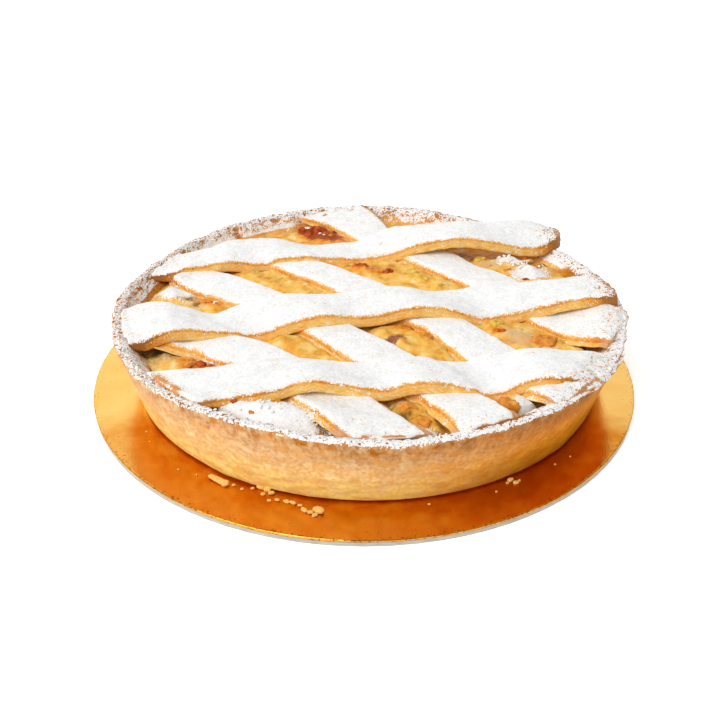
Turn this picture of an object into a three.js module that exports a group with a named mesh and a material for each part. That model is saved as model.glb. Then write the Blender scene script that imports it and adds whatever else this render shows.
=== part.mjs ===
// Pastiera: a deep shortcrust tart with a domed filling, closed by seven strips of dough.
// Four strips run along the diagonal on the filling, and three lie across on top of them.
// The tart stands on a round gold cake card.
// Units are millimetres and +Z is up. The origin is the centre of the card's underside,
// and the front of the tart faces -Y.

import * as THREE from 'three';
import { mergeVertices } from 'three/addons/utils/BufferGeometryUtils.js';

// Pieces that lie on each other keep this clearance.
const GAP = 0.65;

// Round pieces are turned with this many sides.
const ROUND_SIDES = 76;

// Cake card.
const CARD_RADIUS = 140;
const CARD_THICKNESS = 3.6;
const CARD_BEVEL = 0.4;

// Crust: a pastry case with a sloping wall, a flat foot and an uneven rim.
const PIE_CENTRE = new THREE.Vector2(2.6, 3.4);
const CRUST_FOOT_Z = CARD_THICKNESS + GAP;
const CRUST_FOOT_RADIUS = 119.2;
const CRUST_FOOT_ROUND = 1.6;
const CRUST_FLOOR_THICKNESS = 5;
const RIM_Z = 41.3;
const RIM_RADIUS = 129.8;
const RIM_ROUND = 2.6;
const WALL_INSIDE_FOOT_RADIUS = 111.5;
const WALL_INSIDE_RADIUS = 117;
const RIM_INSIDE_RADIUS = 122.6;
// Above the filling the wall rises and falls: waves round the rim, height, phase in degrees.
const RIM_WAVES = [
  [1, 0.9, -148],
  [2, 0.6, 160],
  [3, 0.8, -42],
  [4, 0.6, -12],
  [6, 0.6, 20],
  [7, 0.5, -91],
];

// Filling: fills the crust, and its top is a low dome.
const FILLING_CENTRE_Z = 38.3;
const FILLING_EDGE_Z = 32;
const FILLING_RINGS = 7;

// Lattice strips.
const STRIP_THICKNESS = 5.2;
const STRIP_WIDTH = 25;
// A strip's upper edges are rounded down to this part of its thickness.
const STRIP_EDGE = 0.58;
const STRIP_ROUNDING = 0.45;
const STRIP_STEP = 5.2;
const STRIP_FACES_ACROSS = 4;
// Ends are trimmed off inside this radius. Over the first length an end splays, and over the
// second it is pressed down where it is sealed to the rim.
const TRIM_RADIUS = RIM_RADIUS - 2;
const TRIM_SOFTNESS = 3;
const STRIP_END_LENGTH = 30;
const PRESSED_LENGTH = 14;
const PRESSED_THICKNESS = 0.5;
// The tightest bend of the dough over an edge, and in a hollow.
const BEND_RADIUS = 4.5;
const SAG_RADIUS = 7;

// Each strip: its centre line on plan, the widths of its two ends, and which are sealed.
// Some reach past the trimmed rim by an overhang, and some arch up clear of what lies below.
const DIAGONAL_STRIPS = {
  strip_diagonal_1: {
    line: [[-99, -20], [-88, -33], [-70, -43], [-52, -51], [-33, -70], [-12, -93], [1, -107], [9, -120]],
    endWidths: [20, 24],
    sealed: [false, true],
  },
  strip_diagonal_2: {
    line: [[-102, 37], [-87, 29], [-59, 12], [-14, -30], [4, -50], [28, -82], [42, -99], [54, -113]],
    endWidths: [20, 28],
    sealed: [false, true],
  },
  strip_diagonal_3: {
    line: [[-67, 86], [-45, 66], [-17, 37], [-3, 22], [36, -20], [57, -49], [76, -74], [90, -90]],
    endWidths: [20, 30],
    sealed: [false, true],
  },
  strip_diagonal_4: {
    line: [[-18, 125], [-6, 108], [8, 91], [22, 74], [39, 55], [66, 24], [85, 1], [103, -18], [123, -28]],
    endWidths: [36, 36],
    sealed: [true, true],
  },
};
const ACROSS_STRIPS = {
  strip_across_front: {
    line: [[-79, -84], [-66, -78], [-30, -74.5], [10, -71.5], [50, -69.5], [90, -67], [112, -66]],
    endWidths: [22, 27],
    sealed: [false, true],
    arches: [
      { at: new THREE.Vector2(-60, -80), height: 3.5, reach: 20 },
      { at: new THREE.Vector2(-24, -80), height: 2.2, reach: 18 },
    ],
  },
  strip_across_middle: {
    line: [[-118, -27], [-106, -26], [-75, -21.5], [-20, -14.5], [15, -9.5], [83, -0.5], [128, 5.5]],
    endWidths: [27, 22],
    sealed: [true, false],
    arches: [{ at: new THREE.Vector2(112, 2), height: 4.5, reach: 16 }],
  },
  strip_across_back: {
    line: [[-111, 52], [-92, 57], [-60, 60.5], [0, 67], [53, 72.5], [100, 79], [111, 80]],
    endWidths: [24, 20],
    sealed: [true, false],
    overhang: 5,
    arches: [
      { at: new THREE.Vector2(-82, 55), height: 2.5, reach: 15 },
      { at: new THREE.Vector2(58, 74), height: 9, reach: 22 },
      { at: new THREE.Vector2(84, 84), height: 7.5, reach: 22 },
    ],
  },
};

// The map of heights on which the strips are draped: its cell size and half its side.
const MAP_STEP = 2;
const MAP_HALF = 136;
const MAP_SIDE = (2 * MAP_HALF) / MAP_STEP + 1;
const MAP_REACH = 13;

// Pastry, filling and card colours, with roughness and metalness.
const CRUST_FINISH = { color: 0xe0a668, roughness: 0.8, metalness: 0 };
const FILLING_FINISH = { color: 0xd9a441, roughness: 0.55, metalness: 0 };
const SUGARED_FINISH = { color: 0xf6f3ee, roughness: 0.9, metalness: 0 };
const CARD_FINISH = { color: 0xd9a13c, roughness: 0.3, metalness: 1 };

const smooth = (edge0, edge1, value) => THREE.MathUtils.smoothstep(value, edge0, edge1);

// Merges the shared vertices of a three.js geometry and drops its empty triangles.
function closed(geometry) {
  geometry.deleteAttribute('normal');
  geometry.deleteAttribute('uv');
  const merged = mergeVertices(geometry, 1e-3);
  const corners = merged.index.array;
  const kept = [];
  for (let i = 0; i < corners.length; i += 3) {
    const [a, b, c] = corners.slice(i, i + 3);
    if (a !== b && b !== c && c !== a) kept.push(a, b, c);
  }
  merged.setIndex(kept);
  return merged;
}

// Moves every vertex of a geometry to the place that a function gives for it.
function reshaped(geometry, place) {
  const vertices = geometry.attributes.position;
  const vertex = new THREE.Vector3();
  for (let i = 0; i < vertices.count; i += 1) {
    vertex.fromBufferAttribute(vertices, i);
    place(vertex);
    vertices.setXYZ(i, vertex.x, vertex.y, vertex.z);
  }
  geometry.computeVertexNormals();
  return geometry;
}

// Turns a profile of [radius, z] points round the vertical axis.
function turned(profile) {
  const points = profile.map(([radius, z]) => new THREE.Vector2(radius, z));
  const lathe = new THREE.LatheGeometry(points, ROUND_SIDES).rotateX(Math.PI / 2);
  return closed(lathe);
}

// Points on an arc, from one angle to the other in degrees.
function arc([radius, z], size, from, to, steps) {
  return Array.from({ length: steps + 1 }, (_, i) => {
    const angle = THREE.MathUtils.degToRad(from + ((to - from) * i) / steps);
    return [radius + size * Math.cos(angle), z + size * Math.sin(angle)];
  });
}

// ---------------------------------------------------------------- crust and filling

function rimWave(angle) {
  return RIM_WAVES.reduce(
    (sum, [count, height, phase]) =>
      sum + height * Math.cos(count * angle - THREE.MathUtils.degToRad(phase)),
    0,
  );
}

// How far the crust rises at a place, over its even shape.
function crustRise(x, y, z) {
  return rimWave(Math.atan2(y, x)) * smooth(FILLING_EDGE_Z, RIM_Z, z);
}

function crustGeometry() {
  const floorZ = CRUST_FOOT_Z + CRUST_FLOOR_THICKNESS;
  const footCentre = [CRUST_FOOT_RADIUS - CRUST_FOOT_ROUND, CRUST_FOOT_Z + CRUST_FOOT_ROUND];
  const rimCentre = [RIM_RADIUS - RIM_ROUND, RIM_Z - RIM_ROUND];
  const profile = [
    [0, CRUST_FOOT_Z],
    ...arc(footCentre, CRUST_FOOT_ROUND, -90, -15, 3),
    ...arc(rimCentre, RIM_ROUND, -15, 90, 4),
    [RIM_INSIDE_RADIUS + 1.4, RIM_Z - 0.5],
    [RIM_INSIDE_RADIUS, RIM_Z - 2.4],
    [WALL_INSIDE_RADIUS, FILLING_EDGE_Z],
    [WALL_INSIDE_FOOT_RADIUS, floorZ],
    [0, floorZ],
  ];
  return reshaped(turned(profile), (vertex) => {
    vertex.z += crustRise(vertex.x, vertex.y, vertex.z);
  });
}

function fillingZ(radius) {
  const fall = (FILLING_CENTRE_Z - FILLING_EDGE_Z) * (radius / WALL_INSIDE_RADIUS) ** 2;
  return FILLING_CENTRE_Z - fall;
}

function fillingGeometry() {
  const bottomZ = CRUST_FOOT_Z + CRUST_FLOOR_THICKNESS + GAP;
  const edgeRadius = WALL_INSIDE_RADIUS - 2 * GAP;
  const profile = [
    [0, bottomZ],
    [WALL_INSIDE_FOOT_RADIUS - 2 * GAP, bottomZ],
    [edgeRadius, FILLING_EDGE_Z - 1],
  ];
  for (let ring = FILLING_RINGS; ring >= 0; ring -= 1) {
    const radius = (edgeRadius * ring) / FILLING_RINGS;
    profile.push([radius, fillingZ(radius)]);
  }
  return turned(profile);
}

// Height of what a strip lies on: the filling, the inside of the wall, or the rim.
function bedZ(x, y) {
  const fromCentreX = x - PIE_CENTRE.x;
  const fromCentreY = y - PIE_CENTRE.y;
  const radius = Math.hypot(fromCentreX, fromCentreY);
  const onWall = THREE.MathUtils.mapLinear(
    radius,
    WALL_INSIDE_RADIUS - GAP,
    RIM_INSIDE_RADIUS - GAP,
    FILLING_EDGE_Z,
    RIM_Z - 2.4,
  );
  const onRim = RIM_Z - Math.max(0, RIM_INSIDE_RADIUS + 1.4 - radius);
  const crustZ = Math.min(onWall, onRim);
  return Math.max(fillingZ(radius), crustZ + crustRise(fromCentreX, fromCentreY, crustZ));
}

// ---------------------------------------------------------------- draping

// A square map of heights, with one value for each cell.
function heightMap(heightAt) {
  const cells = new Float64Array(MAP_SIDE * MAP_SIDE);
  for (let row = 0; row < MAP_SIDE; row += 1) {
    for (let column = 0; column < MAP_SIDE; column += 1) {
      const x = column * MAP_STEP - MAP_HALF;
      const y = row * MAP_STEP - MAP_HALF;
      cells[row * MAP_SIDE + column] = heightAt(x, y);
    }
  }
  return cells;
}

function readMap(cells, x, y) {
  const across = THREE.MathUtils.clamp((x + MAP_HALF) / MAP_STEP, 0, MAP_SIDE - 1.001);
  const up = THREE.MathUtils.clamp((y + MAP_HALF) / MAP_STEP, 0, MAP_SIDE - 1.001);
  const column = Math.floor(across);
  const row = Math.floor(up);
  const at = row * MAP_SIDE + column;
  const near = THREE.MathUtils.lerp(cells[at], cells[at + 1], across - column);
  const far = THREE.MathUtils.lerp(cells[at + MAP_SIDE], cells[at + MAP_SIDE + 1], across - column);
  return THREE.MathUtils.lerp(near, far, up - row);
}

// Rolls a bowl of the given radius over the map, along one direction and then the other.
// With sign 1 it covers the heights from above, and with sign -1 it presses back down.
function rolled(cells, radius, sign) {
  let from = cells;
  for (const stride of [1, MAP_SIDE]) {
    const to = new Float64Array(from.length);
    for (let cell = 0; cell < from.length; cell += 1) {
      const place = stride === 1 ? cell % MAP_SIDE : Math.floor(cell / MAP_SIDE);
      const first = Math.max(-MAP_REACH, -place);
      const last = Math.min(MAP_REACH, MAP_SIDE - 1 - place);
      let best = -Infinity;
      for (let away = first; away <= last; away += 1) {
        const drop = (away * MAP_STEP) ** 2 / (2 * radius);
        best = Math.max(best, sign * from[cell + away * stride] - drop);
      }
      to[cell] = sign * best;
    }
    from = to;
  }
  return from;
}

// The underside of dough laid over a map: it bridges hollows and rounds edges.
function draped(cells) {
  return rolled(rolled(cells, SAG_RADIUS + BEND_RADIUS, 1), SAG_RADIUS, -1);
}

// ---------------------------------------------------------------- strips

// Pulls a place that lies past the trimmed edge back inside it.
function trim(place, trimRadius) {
  const past = place.distanceTo(PIE_CENTRE) - (trimRadius - TRIM_SOFTNESS);
  if (past <= 0) return;
  const trimmed = trimRadius - TRIM_SOFTNESS * Math.exp(-past / TRIM_SOFTNESS);
  place.sub(PIE_CENTRE).setLength(trimmed).add(PIE_CENTRE);
}

// Gives a strip's plan place, underside and top for a place along it (0 to 1) and across it
// (-1 to 1, measured by the angle round its rounded top).
function stripSurface({ line, endWidths, sealed, overhang = 0, arches = [] }, underside) {
  const centreLine = new THREE.SplineCurve(line.map(([x, y]) => new THREE.Vector2(x, y)));
  const length = centreLine.getLength();

  const widthAt = (along) => {
    const nearStart = 1 - smooth(0, STRIP_END_LENGTH, along * length);
    const nearEnd = 1 - smooth(0, STRIP_END_LENGTH, (1 - along) * length);
    const splayed = nearStart * (endWidths[0] - STRIP_WIDTH) + nearEnd * (endWidths[1] - STRIP_WIDTH);
    return STRIP_WIDTH + splayed;
  };

  const pressedAt = (along) => {
    const nearStart = sealed[0] ? 1 - smooth(0, PRESSED_LENGTH, along * length) : 0;
    const nearEnd = sealed[1] ? 1 - smooth(0, PRESSED_LENGTH, (1 - along) * length) : 0;
    return 1 - (1 - PRESSED_THICKNESS) * Math.max(nearStart, nearEnd);
  };

  const at = (along, turn) => {
    const across = Math.sin((turn * Math.PI) / 2);
    const round = Math.max(0, Math.cos((turn * Math.PI) / 2)) ** STRIP_ROUNDING;
    const atEnd = along <= 0 || along >= 1;
    const fullness = STRIP_EDGE + (1 - STRIP_EDGE) * (atEnd ? 0 : round);
    const place = centreLine.getPointAt(along);
    const heading = centreLine.getTangentAt(along);
    const half = (across * widthAt(along)) / 2;
    place.add(new THREE.Vector2(-heading.y, heading.x).multiplyScalar(half));
    trim(place, TRIM_RADIUS + overhang);
    const lift = arches.reduce(
      (sum, arch) => sum + arch.height * Math.exp(-((place.distanceTo(arch.at) / arch.reach) ** 2)),
      0,
    );
    const bottom = readMap(underside, place.x, place.y) + GAP + lift;
    return { place, bottom, top: bottom + STRIP_THICKNESS * pressedAt(along) * fullness };
  };

  return { length, at };
}

function stripGeometry(surface) {
  const steps = Math.round(surface.length / STRIP_STEP);
  const block = closed(new THREE.BoxGeometry(1, 1, 1, steps, STRIP_FACES_ACROSS, 1));
  return reshaped(block, (vertex) => {
    const { place, bottom, top } = surface.at(vertex.x + 0.5, 2 * vertex.y);
    vertex.set(place.x, place.y, vertex.z > 0 ? top : bottom);
  });
}

// Adds a strip's top to a map of heights.
function coverMap(cells, surface) {
  const alongSteps = Math.ceil((2 * surface.length) / MAP_STEP);
  const acrossSteps = Math.ceil((3 * STRIP_WIDTH) / MAP_STEP);
  for (let i = 0; i <= alongSteps; i += 1) {
    for (let j = 0; j <= acrossSteps; j += 1) {
      const { place, top } = surface.at(i / alongSteps, (2 * j) / acrossSteps - 1);
      const column = Math.round((place.x + MAP_HALF) / MAP_STEP);
      const row = Math.round((place.y + MAP_HALF) / MAP_STEP);
      const cell = row * MAP_SIDE + column;
      cells[cell] = Math.max(cells[cell], top);
    }
  }
}

// ---------------------------------------------------------------- assembly

function piece(name, geometry, finish) {
  const mesh = new THREE.Mesh(geometry, new THREE.MeshStandardMaterial(finish));
  mesh.name = name;
  return mesh;
}

const card = turned([
  [0, 0],
  [CARD_RADIUS - CARD_BEVEL, 0],
  [CARD_RADIUS, CARD_BEVEL],
  [CARD_RADIUS, CARD_THICKNESS - CARD_BEVEL],
  [CARD_RADIUS - CARD_BEVEL, CARD_THICKNESS],
  [0, CARD_THICKNESS],
]);

const pie = new THREE.Group();
pie.position.set(PIE_CENTRE.x, PIE_CENTRE.y, 0);
pie.add(piece('crust', crustGeometry(), CRUST_FINISH));
pie.add(piece('filling', fillingGeometry(), FILLING_FINISH));

const lattice = new THREE.Group();
const bed = heightMap(bedZ);
const onBed = draped(bed);
const covered = Float64Array.from(bed);
for (const [name, strip] of Object.entries(DIAGONAL_STRIPS)) {
  const surface = stripSurface(strip, onBed);
  lattice.add(piece(name, stripGeometry(surface), SUGARED_FINISH));
  coverMap(covered, surface);
}
const onDiagonals = draped(covered);
for (const [name, strip] of Object.entries(ACROSS_STRIPS)) {
  lattice.add(piece(name, stripGeometry(stripSurface(strip, onDiagonals)), SUGARED_FINISH));
}

const pastiera = new THREE.Group();
pastiera.add(piece('cake_board', card, CARD_FINISH), pie, lattice);

export default pastiera;
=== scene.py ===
import math

import bpy
import numpy as np
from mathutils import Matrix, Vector


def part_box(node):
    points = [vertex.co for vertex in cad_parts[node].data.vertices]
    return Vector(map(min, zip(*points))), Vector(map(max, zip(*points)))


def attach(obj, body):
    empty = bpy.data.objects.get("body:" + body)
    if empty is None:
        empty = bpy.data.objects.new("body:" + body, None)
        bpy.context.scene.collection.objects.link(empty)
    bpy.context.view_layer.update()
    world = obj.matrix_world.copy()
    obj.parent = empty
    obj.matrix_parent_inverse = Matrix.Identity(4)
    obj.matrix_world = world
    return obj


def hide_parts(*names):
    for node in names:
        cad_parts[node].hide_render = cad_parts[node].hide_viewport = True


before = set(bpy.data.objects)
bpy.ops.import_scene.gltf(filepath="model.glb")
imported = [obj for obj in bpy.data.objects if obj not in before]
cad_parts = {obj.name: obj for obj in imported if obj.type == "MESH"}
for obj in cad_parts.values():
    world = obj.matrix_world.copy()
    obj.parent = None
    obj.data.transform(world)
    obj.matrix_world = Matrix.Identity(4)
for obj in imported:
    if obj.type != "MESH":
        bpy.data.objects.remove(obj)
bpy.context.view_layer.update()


# ---------------------------------------------------------------- studio
# The tart stands on a plain white table in front of a white sweep. The light is a big soft
# window on the left, and the sweep is brighter behind the tart than in front of it.

MM = 0.001
CAMERA_ELEVATION = math.radians(31.05)
CAMERA_DISTANCE = 523.4 * MM
CAMERA_LENS = 48.985
CAMERA_SHIFT = (-0.0055, 0.0163)
TABLE_HALF = 6.0
TABLE_WHITE = "#FFFFFF"
TABLE_GLOW = 0.38
SWEEP_STRENGTH = 0.42
SWEEP_GLOW = 0.80
SWEEP_TOWARDS = (-0.25, 0.90, 0.35)
WINDOW_FROM = (-0.50, -0.52, 0.69)
WINDOW_STRENGTH = 2.0
WINDOW_SOFTNESS = math.radians(48)


def linear(hex_colour):
    """The linear colour of an sRGB hex value."""
    channels = [int(hex_colour[i:i + 2], 16) / 255 for i in (1, 3, 5)]
    return (*(c / 12.92 if c <= 0.04045 else ((c + 0.055) / 1.055) ** 2.4 for c in channels), 1.0)


def set_inputs(node, inputs):
    """Fills a node's inputs, by name or in their order. Each takes a number, a hex colour, a
    socket, or a node whose first output is linked to it."""
    for name, value in inputs.items() if isinstance(inputs, dict) else enumerate(inputs):
        if isinstance(value, bpy.types.Node):
            value = value.outputs[0]
        if isinstance(value, bpy.types.NodeSocket):
            node.id_data.links.new(value, node.inputs[name])
        else:
            node.inputs[name].default_value = linear(value) if isinstance(value, str) else value


def add_node(tree, kind, inputs=(), stops=(), **settings):
    """Adds a node with its settings and inputs. Stops are the places and colours of a ramp."""
    node = tree.nodes.new("ShaderNode" + kind)
    for name, value in settings.items():
        setattr(node, name, value)
    if stops:
        ramp = node.color_ramp.elements
        ramp.remove(ramp[1])
        ramp[0].position = stops[0][0]
        for place, _ in stops[1:]:
            ramp.new(place)
        for stop, (_, colour) in zip(ramp, stops):
            stop.color = linear(colour)
    set_inputs(node, inputs)
    return node


def new_material(name):
    """A material, its node tree and its empty shader."""
    material = bpy.data.materials.new(name)
    material.use_nodes = True
    return material, material.node_tree, material.node_tree.nodes["Principled BSDF"]


# Matt white board, lit from below: an even white with no gloss, on which shades hardly show.
table_white, _, shader = new_material("matt_white_board")
set_inputs(shader, {
    "Base Color": TABLE_WHITE, "Roughness": 1.0, "Specular IOR Level": 0.0,
    "Emission Color": TABLE_WHITE, "Emission Strength": TABLE_GLOW,
})

table_mesh = bpy.data.meshes.new("table")
corners = [(x * TABLE_HALF, y * TABLE_HALF, 0) for x, y in ((-1, -1), (1, -1), (1, 1), (-1, 1))]
table_mesh.from_pydata(corners, [], [(0, 1, 2, 3)])
table_mesh.materials.append(table_white)
table = bpy.data.objects.new("table", table_mesh)
bpy.context.collection.objects.link(table)

world = bpy.data.worlds.new("white_sweep")
world.use_nodes = True
bpy.context.scene.world = world
tree = world.node_tree
direction = add_node(tree, "TexCoord").outputs["Generated"]
facing = add_node(tree, "VectorMath", (direction, SWEEP_TOWARDS), operation="DOT_PRODUCT")
ahead = add_node(tree, "Math", (facing.outputs["Value"], 0), operation="MAXIMUM")
glow = add_node(tree, "Math", (ahead, 2), operation="POWER")
light = add_node(tree, "Math", (glow, SWEEP_GLOW, SWEEP_STRENGTH), operation="MULTIPLY_ADD")
set_inputs(tree.nodes["Background"], {"Strength": light, "Color": "#FFFFFF"})

window_light = bpy.data.lights.new("window", "SUN")
window_light.energy = WINDOW_STRENGTH
window_light.angle = WINDOW_SOFTNESS
window = bpy.data.objects.new("window", window_light)
window.rotation_euler = Vector(WINDOW_FROM).to_track_quat("Z", "Y").to_euler()
bpy.context.collection.objects.link(window)

camera_data = bpy.data.cameras.new("camera")
camera_data.lens = CAMERA_LENS
camera_data.shift_x, camera_data.shift_y = CAMERA_SHIFT
camera_data.dof.use_dof = False
camera = bpy.data.objects.new("camera", camera_data)
camera.location = (
    0,
    -CAMERA_DISTANCE * math.cos(CAMERA_ELEVATION),
    CAMERA_DISTANCE * math.sin(CAMERA_ELEVATION),
)
camera.rotation_euler = camera.location.to_track_quat("Z", "Y").to_euler()
bpy.context.collection.objects.link(camera)
bpy.context.scene.camera = camera
bpy.context.scene.view_settings.view_transform = "Standard"


# ---------------------------------------------------------------- cake card: board
# A disc of grey and white millboard, die-cut, so its edge shows the pressed layers of paper.
# It carries the tart, and its top is covered with gold foil.

BOARD_SIDES = 360
BOARD_BEVEL = 0.4
BOARD_EDGE_WOBBLE = 0.12
FOIL_THICKNESS = 0.12

board_low, board_high = (np.array(corner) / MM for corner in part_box("cake_board"))
BOARD_RADIUS = (board_high[0] - board_low[0]) / 2
BOARD_TOP = board_high[2]


def smoothstep(low, high, value):
    """Goes softly from 0 to 1 as a value goes from low to high."""
    part = np.clip((value - low) / (high - low), 0, 1)
    return part * part * (3 - 2 * part)


def grain(points, *layers):
    """Smooth random values at points in mm, added up from layers of soft lumps. Each layer has
    the most that it adds or takes off, the size of its lumps in mm, and its seed."""
    total = 0
    for most, size, seed in layers:
        scaled = np.asarray(points, float) / size
        low = np.floor(scaled).astype(np.int64)
        part = smoothstep(0, 1, scaled - low)
        layer = np.zeros(scaled.shape[:-1])
        for corner in np.ndindex(2, 2, 2):
            cell = (low + corner).astype(np.uint32)
            mixed = cell[..., 0] * np.uint32(0x8DA6B343) ^ cell[..., 1] * np.uint32(0xD8163841)
            mixed ^= cell[..., 2] * np.uint32(0xCB1AB31F) ^ np.uint32(seed * 0x9E3779B1 % 2**32)
            for shift, factor in ((15, 0x2C1B3C6D), (12, 0x297A2D39)):
                mixed = (mixed ^ (mixed >> np.uint32(shift))) * np.uint32(factor)
            mixed ^= mixed >> np.uint32(15)
            value = mixed / 2**31 - 1
            layer += value * np.prod(np.where(corner, part, 1 - part), axis=-1)
        total = total + most * layer
    return total


def skin(name, rings, material, **painted):
    """Makes closed skins through rings of points in mm and paints values on their points.

    The points are [ring, place round the ring, xyz], with one index more in front where there
    are several skins. The first and last ring of each skin are closed with a point at their
    middle.
    """
    rings = rings.reshape(-1, *rings.shape[-3:])
    skins, count, around = rings.shape[:3]
    each = count * around + 2

    def with_poles(values):
        values = values.reshape(skins, count, around, -1)
        poles = np.stack([values[:, 0].mean(axis=1), values[:, -1].mean(axis=1)], axis=1)
        return np.concatenate([values.reshape(skins, count * around, -1), poles], axis=1)

    points = with_poles(rings)
    index = np.arange(count * around).reshape(count, around)
    turned = np.roll(index, -1, axis=1)
    quads = np.stack([index[:-1], turned[:-1], turned[1:], index[1:]], axis=-1).reshape(-1, 4)
    start = np.stack([np.full(around, each - 2), turned[0], index[0]], axis=-1)
    end = np.stack([np.full(around, each - 1), index[-1], turned[-1]], axis=-1)
    corners = points[0][quads]
    across = np.cross(corners[:, 2] - corners[:, 0], corners[:, 3] - corners[:, 1])
    inward = np.sum(corners.mean(axis=1) * across) < 0
    faces = []
    for skin_index in range(skins):
        for block in (quads, start, end):
            block = block + skin_index * each
            faces += (block[:, ::-1] if inward else block).tolist()
    mesh = bpy.data.meshes.new(name)
    mesh.from_pydata((points.reshape(-1, 3) * MM).tolist(), [], faces)
    mesh.polygons.foreach_set("use_smooth", np.ones(len(faces), bool))
    for value_name, values in painted.items():
        layer = mesh.attributes.new(value_name, "FLOAT", "POINT")
        layer.data.foreach_set("value", with_poles(values).ravel().astype(np.float32))
    mesh.materials.append(material)
    made = bpy.data.objects.new(name, mesh)
    bpy.context.collection.objects.link(made)
    return made


def circles(profile, sides):
    """Turns a profile of [radius, z] points into rings, with the angle of each place."""
    angles = np.linspace(0, 2 * np.pi, sides, endpoint=False)
    radius, z = np.array(profile, float).T[:, :, None]
    rings = np.stack([radius * np.cos(angles), radius * np.sin(angles), z + 0 * angles], axis=-1)
    return rings, np.broadcast_to(angles, rings.shape[:2])


def arc(centre, size, start, end, steps):
    """Points on an arc, from one angle to the other in degrees."""
    angles = np.radians(np.linspace(start, end, steps + 1))
    return [(centre[0] + size * math.cos(a), centre[1] + size * math.sin(a)) for a in angles]


# Millboard: pressed grey pulp faced with white paper, which looks like thin pale layers.
millboard, tree, shader = new_material("pressed_millboard")
place = add_node(tree, "TexCoord").outputs["Object"]
flat_place = add_node(tree, "Mapping", {"Vector": place, "Scale": (1, 1, 9)})
layers = add_node(tree, "TexNoise", {"Vector": flat_place, "Scale": 1 / (6 * MM), "Detail": 4})
paper = add_node(tree, "MixRGB", (layers, "#8F8A80", "#D9D2C4"))
set_inputs(shader, {"Base Color": paper, "Roughness": 0.85})

board_bottom = BOARD_TOP - FOIL_THICKNESS
board_flat = BOARD_RADIUS - BOARD_BEVEL
board_profile = [
    (60, 0),
    (120, 0),
    (board_flat, 0),
    *arc((board_flat, BOARD_BEVEL), BOARD_BEVEL, -90, 0, 3),
    (BOARD_RADIUS, board_bottom / 2),
    *arc((board_flat, board_bottom - BOARD_BEVEL), BOARD_BEVEL, 0, 90, 3),
    (120, board_bottom),
    (60, board_bottom),
]
rings, _ = circles(board_profile, BOARD_SIDES)
outer = smoothstep(BOARD_RADIUS - 4, BOARD_RADIUS, np.hypot(rings[..., 0], rings[..., 1]))
shrink = 1 - outer * (BOARD_EDGE_WOBBLE + grain(rings, (BOARD_EDGE_WOBBLE, 3, 1))) / BOARD_RADIUS
rings[..., :2] *= shrink[..., None]
card_board = skin("card_board", rings, millboard)
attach(card_board, "root")
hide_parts("cake_board")


# ---------------------------------------------------------------- cake card: foil
# A gold metallised film, laminated to the top of the board before it was die-cut. The cut
# turns it down over the edge, where it is nicked, and its face has the grain of the board.

FOIL_TURN = 0.55
FOIL_TURN_RADIUS = 0.6
FOIL_TURN_INSIDE = 0.5
FOIL_LIFT = 0.01
NICK_SIZE = 1.6
NICK_DEPTH = 0.3
NICK_INWARD = 0.15

# Metallised gold film: a warm mirror, a little blurred by the board's grain, and pitted near
# its edge. In front it is painted a patchy deeper gold, darkest near the crust's foot and on
# the right: a painted reflection of the crust's shaded wall.
gold_film, tree, shader = new_material("gold_metallised_film")
place = add_node(tree, "TexCoord").outputs["Object"]
worn, greased = [
    add_node(tree, "Attribute", attribute_name=paint).outputs["Fac"] for paint in ("worn", "greased")
]
mottle, pits, reflection_mottle, board_grain, board_waves = [
    add_node(tree, "TexNoise", {"Vector": place, "Scale": 1 / (size * MM), "Detail": detail})
    for size, detail in ((14, 4), (1.1, 1), (9, 6), (0.9, 2), (22, 1))
]
gold = add_node(tree, "MixRGB", (mottle, "#FCCF78", "#F3B44F"))
pit_level = add_node(tree, "Math", (pits, worn), operation="ADD")
pit_mask = add_node(tree, "MapRange", (pit_level, 0.80, 0.86))
film = add_node(tree, "MixRGB", (pit_mask, gold, "#B08A3E"))
reflection_mottle_level = add_node(tree, "MapRange", (reflection_mottle, 0.36, 0.62))
uneven_reflection = add_node(tree, "Math", (reflection_mottle_level, 0.35, 0.62), operation="MULTIPLY_ADD")
reflection_tint = add_node(tree, "Math", (uneven_reflection, greased), operation="MULTIPLY")
film = add_node(tree, "MixRGB", (reflection_tint, film, "#E0AE14"), blend_type="MULTIPLY")
fine = add_node(tree, "Bump", {"Height": board_grain, "Distance": 0.06 * MM, "Strength": 1.0})
bump = add_node(tree, "Bump", {
    "Height": board_waves, "Distance": 0.5 * MM, "Strength": 0.5, "Normal": fine,
})
set_inputs(shader, {"Base Color": film, "Normal": bump, "Metallic": 1.0, "Roughness": 0.13})

turn_z = BOARD_TOP - FOIL_TURN_RADIUS
foil_profile = [
    (40, board_bottom + FOIL_LIFT),
    (110, board_bottom + FOIL_LIFT),
    *arc((board_flat, turn_z), FOIL_TURN_INSIDE, 90, 0, 4),
    (board_flat + FOIL_TURN_INSIDE, turn_z - FOIL_TURN),
    (BOARD_RADIUS + FOIL_THICKNESS, turn_z - FOIL_TURN),
    *arc((board_flat, turn_z), FOIL_TURN_RADIUS, 0, 90, 4),
    *[(radius, BOARD_TOP) for radius in (139, 138, 136, 133, 129, 124, 118, 110, 95, 70, 40)],
]
rings, angles = circles(foil_profile, 2 * BOARD_SIDES)
edge = smoothstep(BOARD_RADIUS - 1.2, BOARD_RADIUS - 0.2, np.hypot(rings[..., 0], rings[..., 1]))
nick = smoothstep(0.35, 0.8, grain(rings, (1, NICK_SIZE, 2))) * edge
rings[..., 2] += nick * NICK_DEPTH * (rings[..., 2] < BOARD_TOP - 0.5)
rings[..., :2] *= (1 - nick * NICK_INWARD / BOARD_RADIUS)[..., None]
radius = np.hypot(rings[..., 0], rings[..., 1])
worn = 0.10 * smoothstep(110, BOARD_RADIUS, radius)
worn += 0.13 * smoothstep(BOARD_RADIUS - 3, BOARD_RADIUS, radius)
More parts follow.
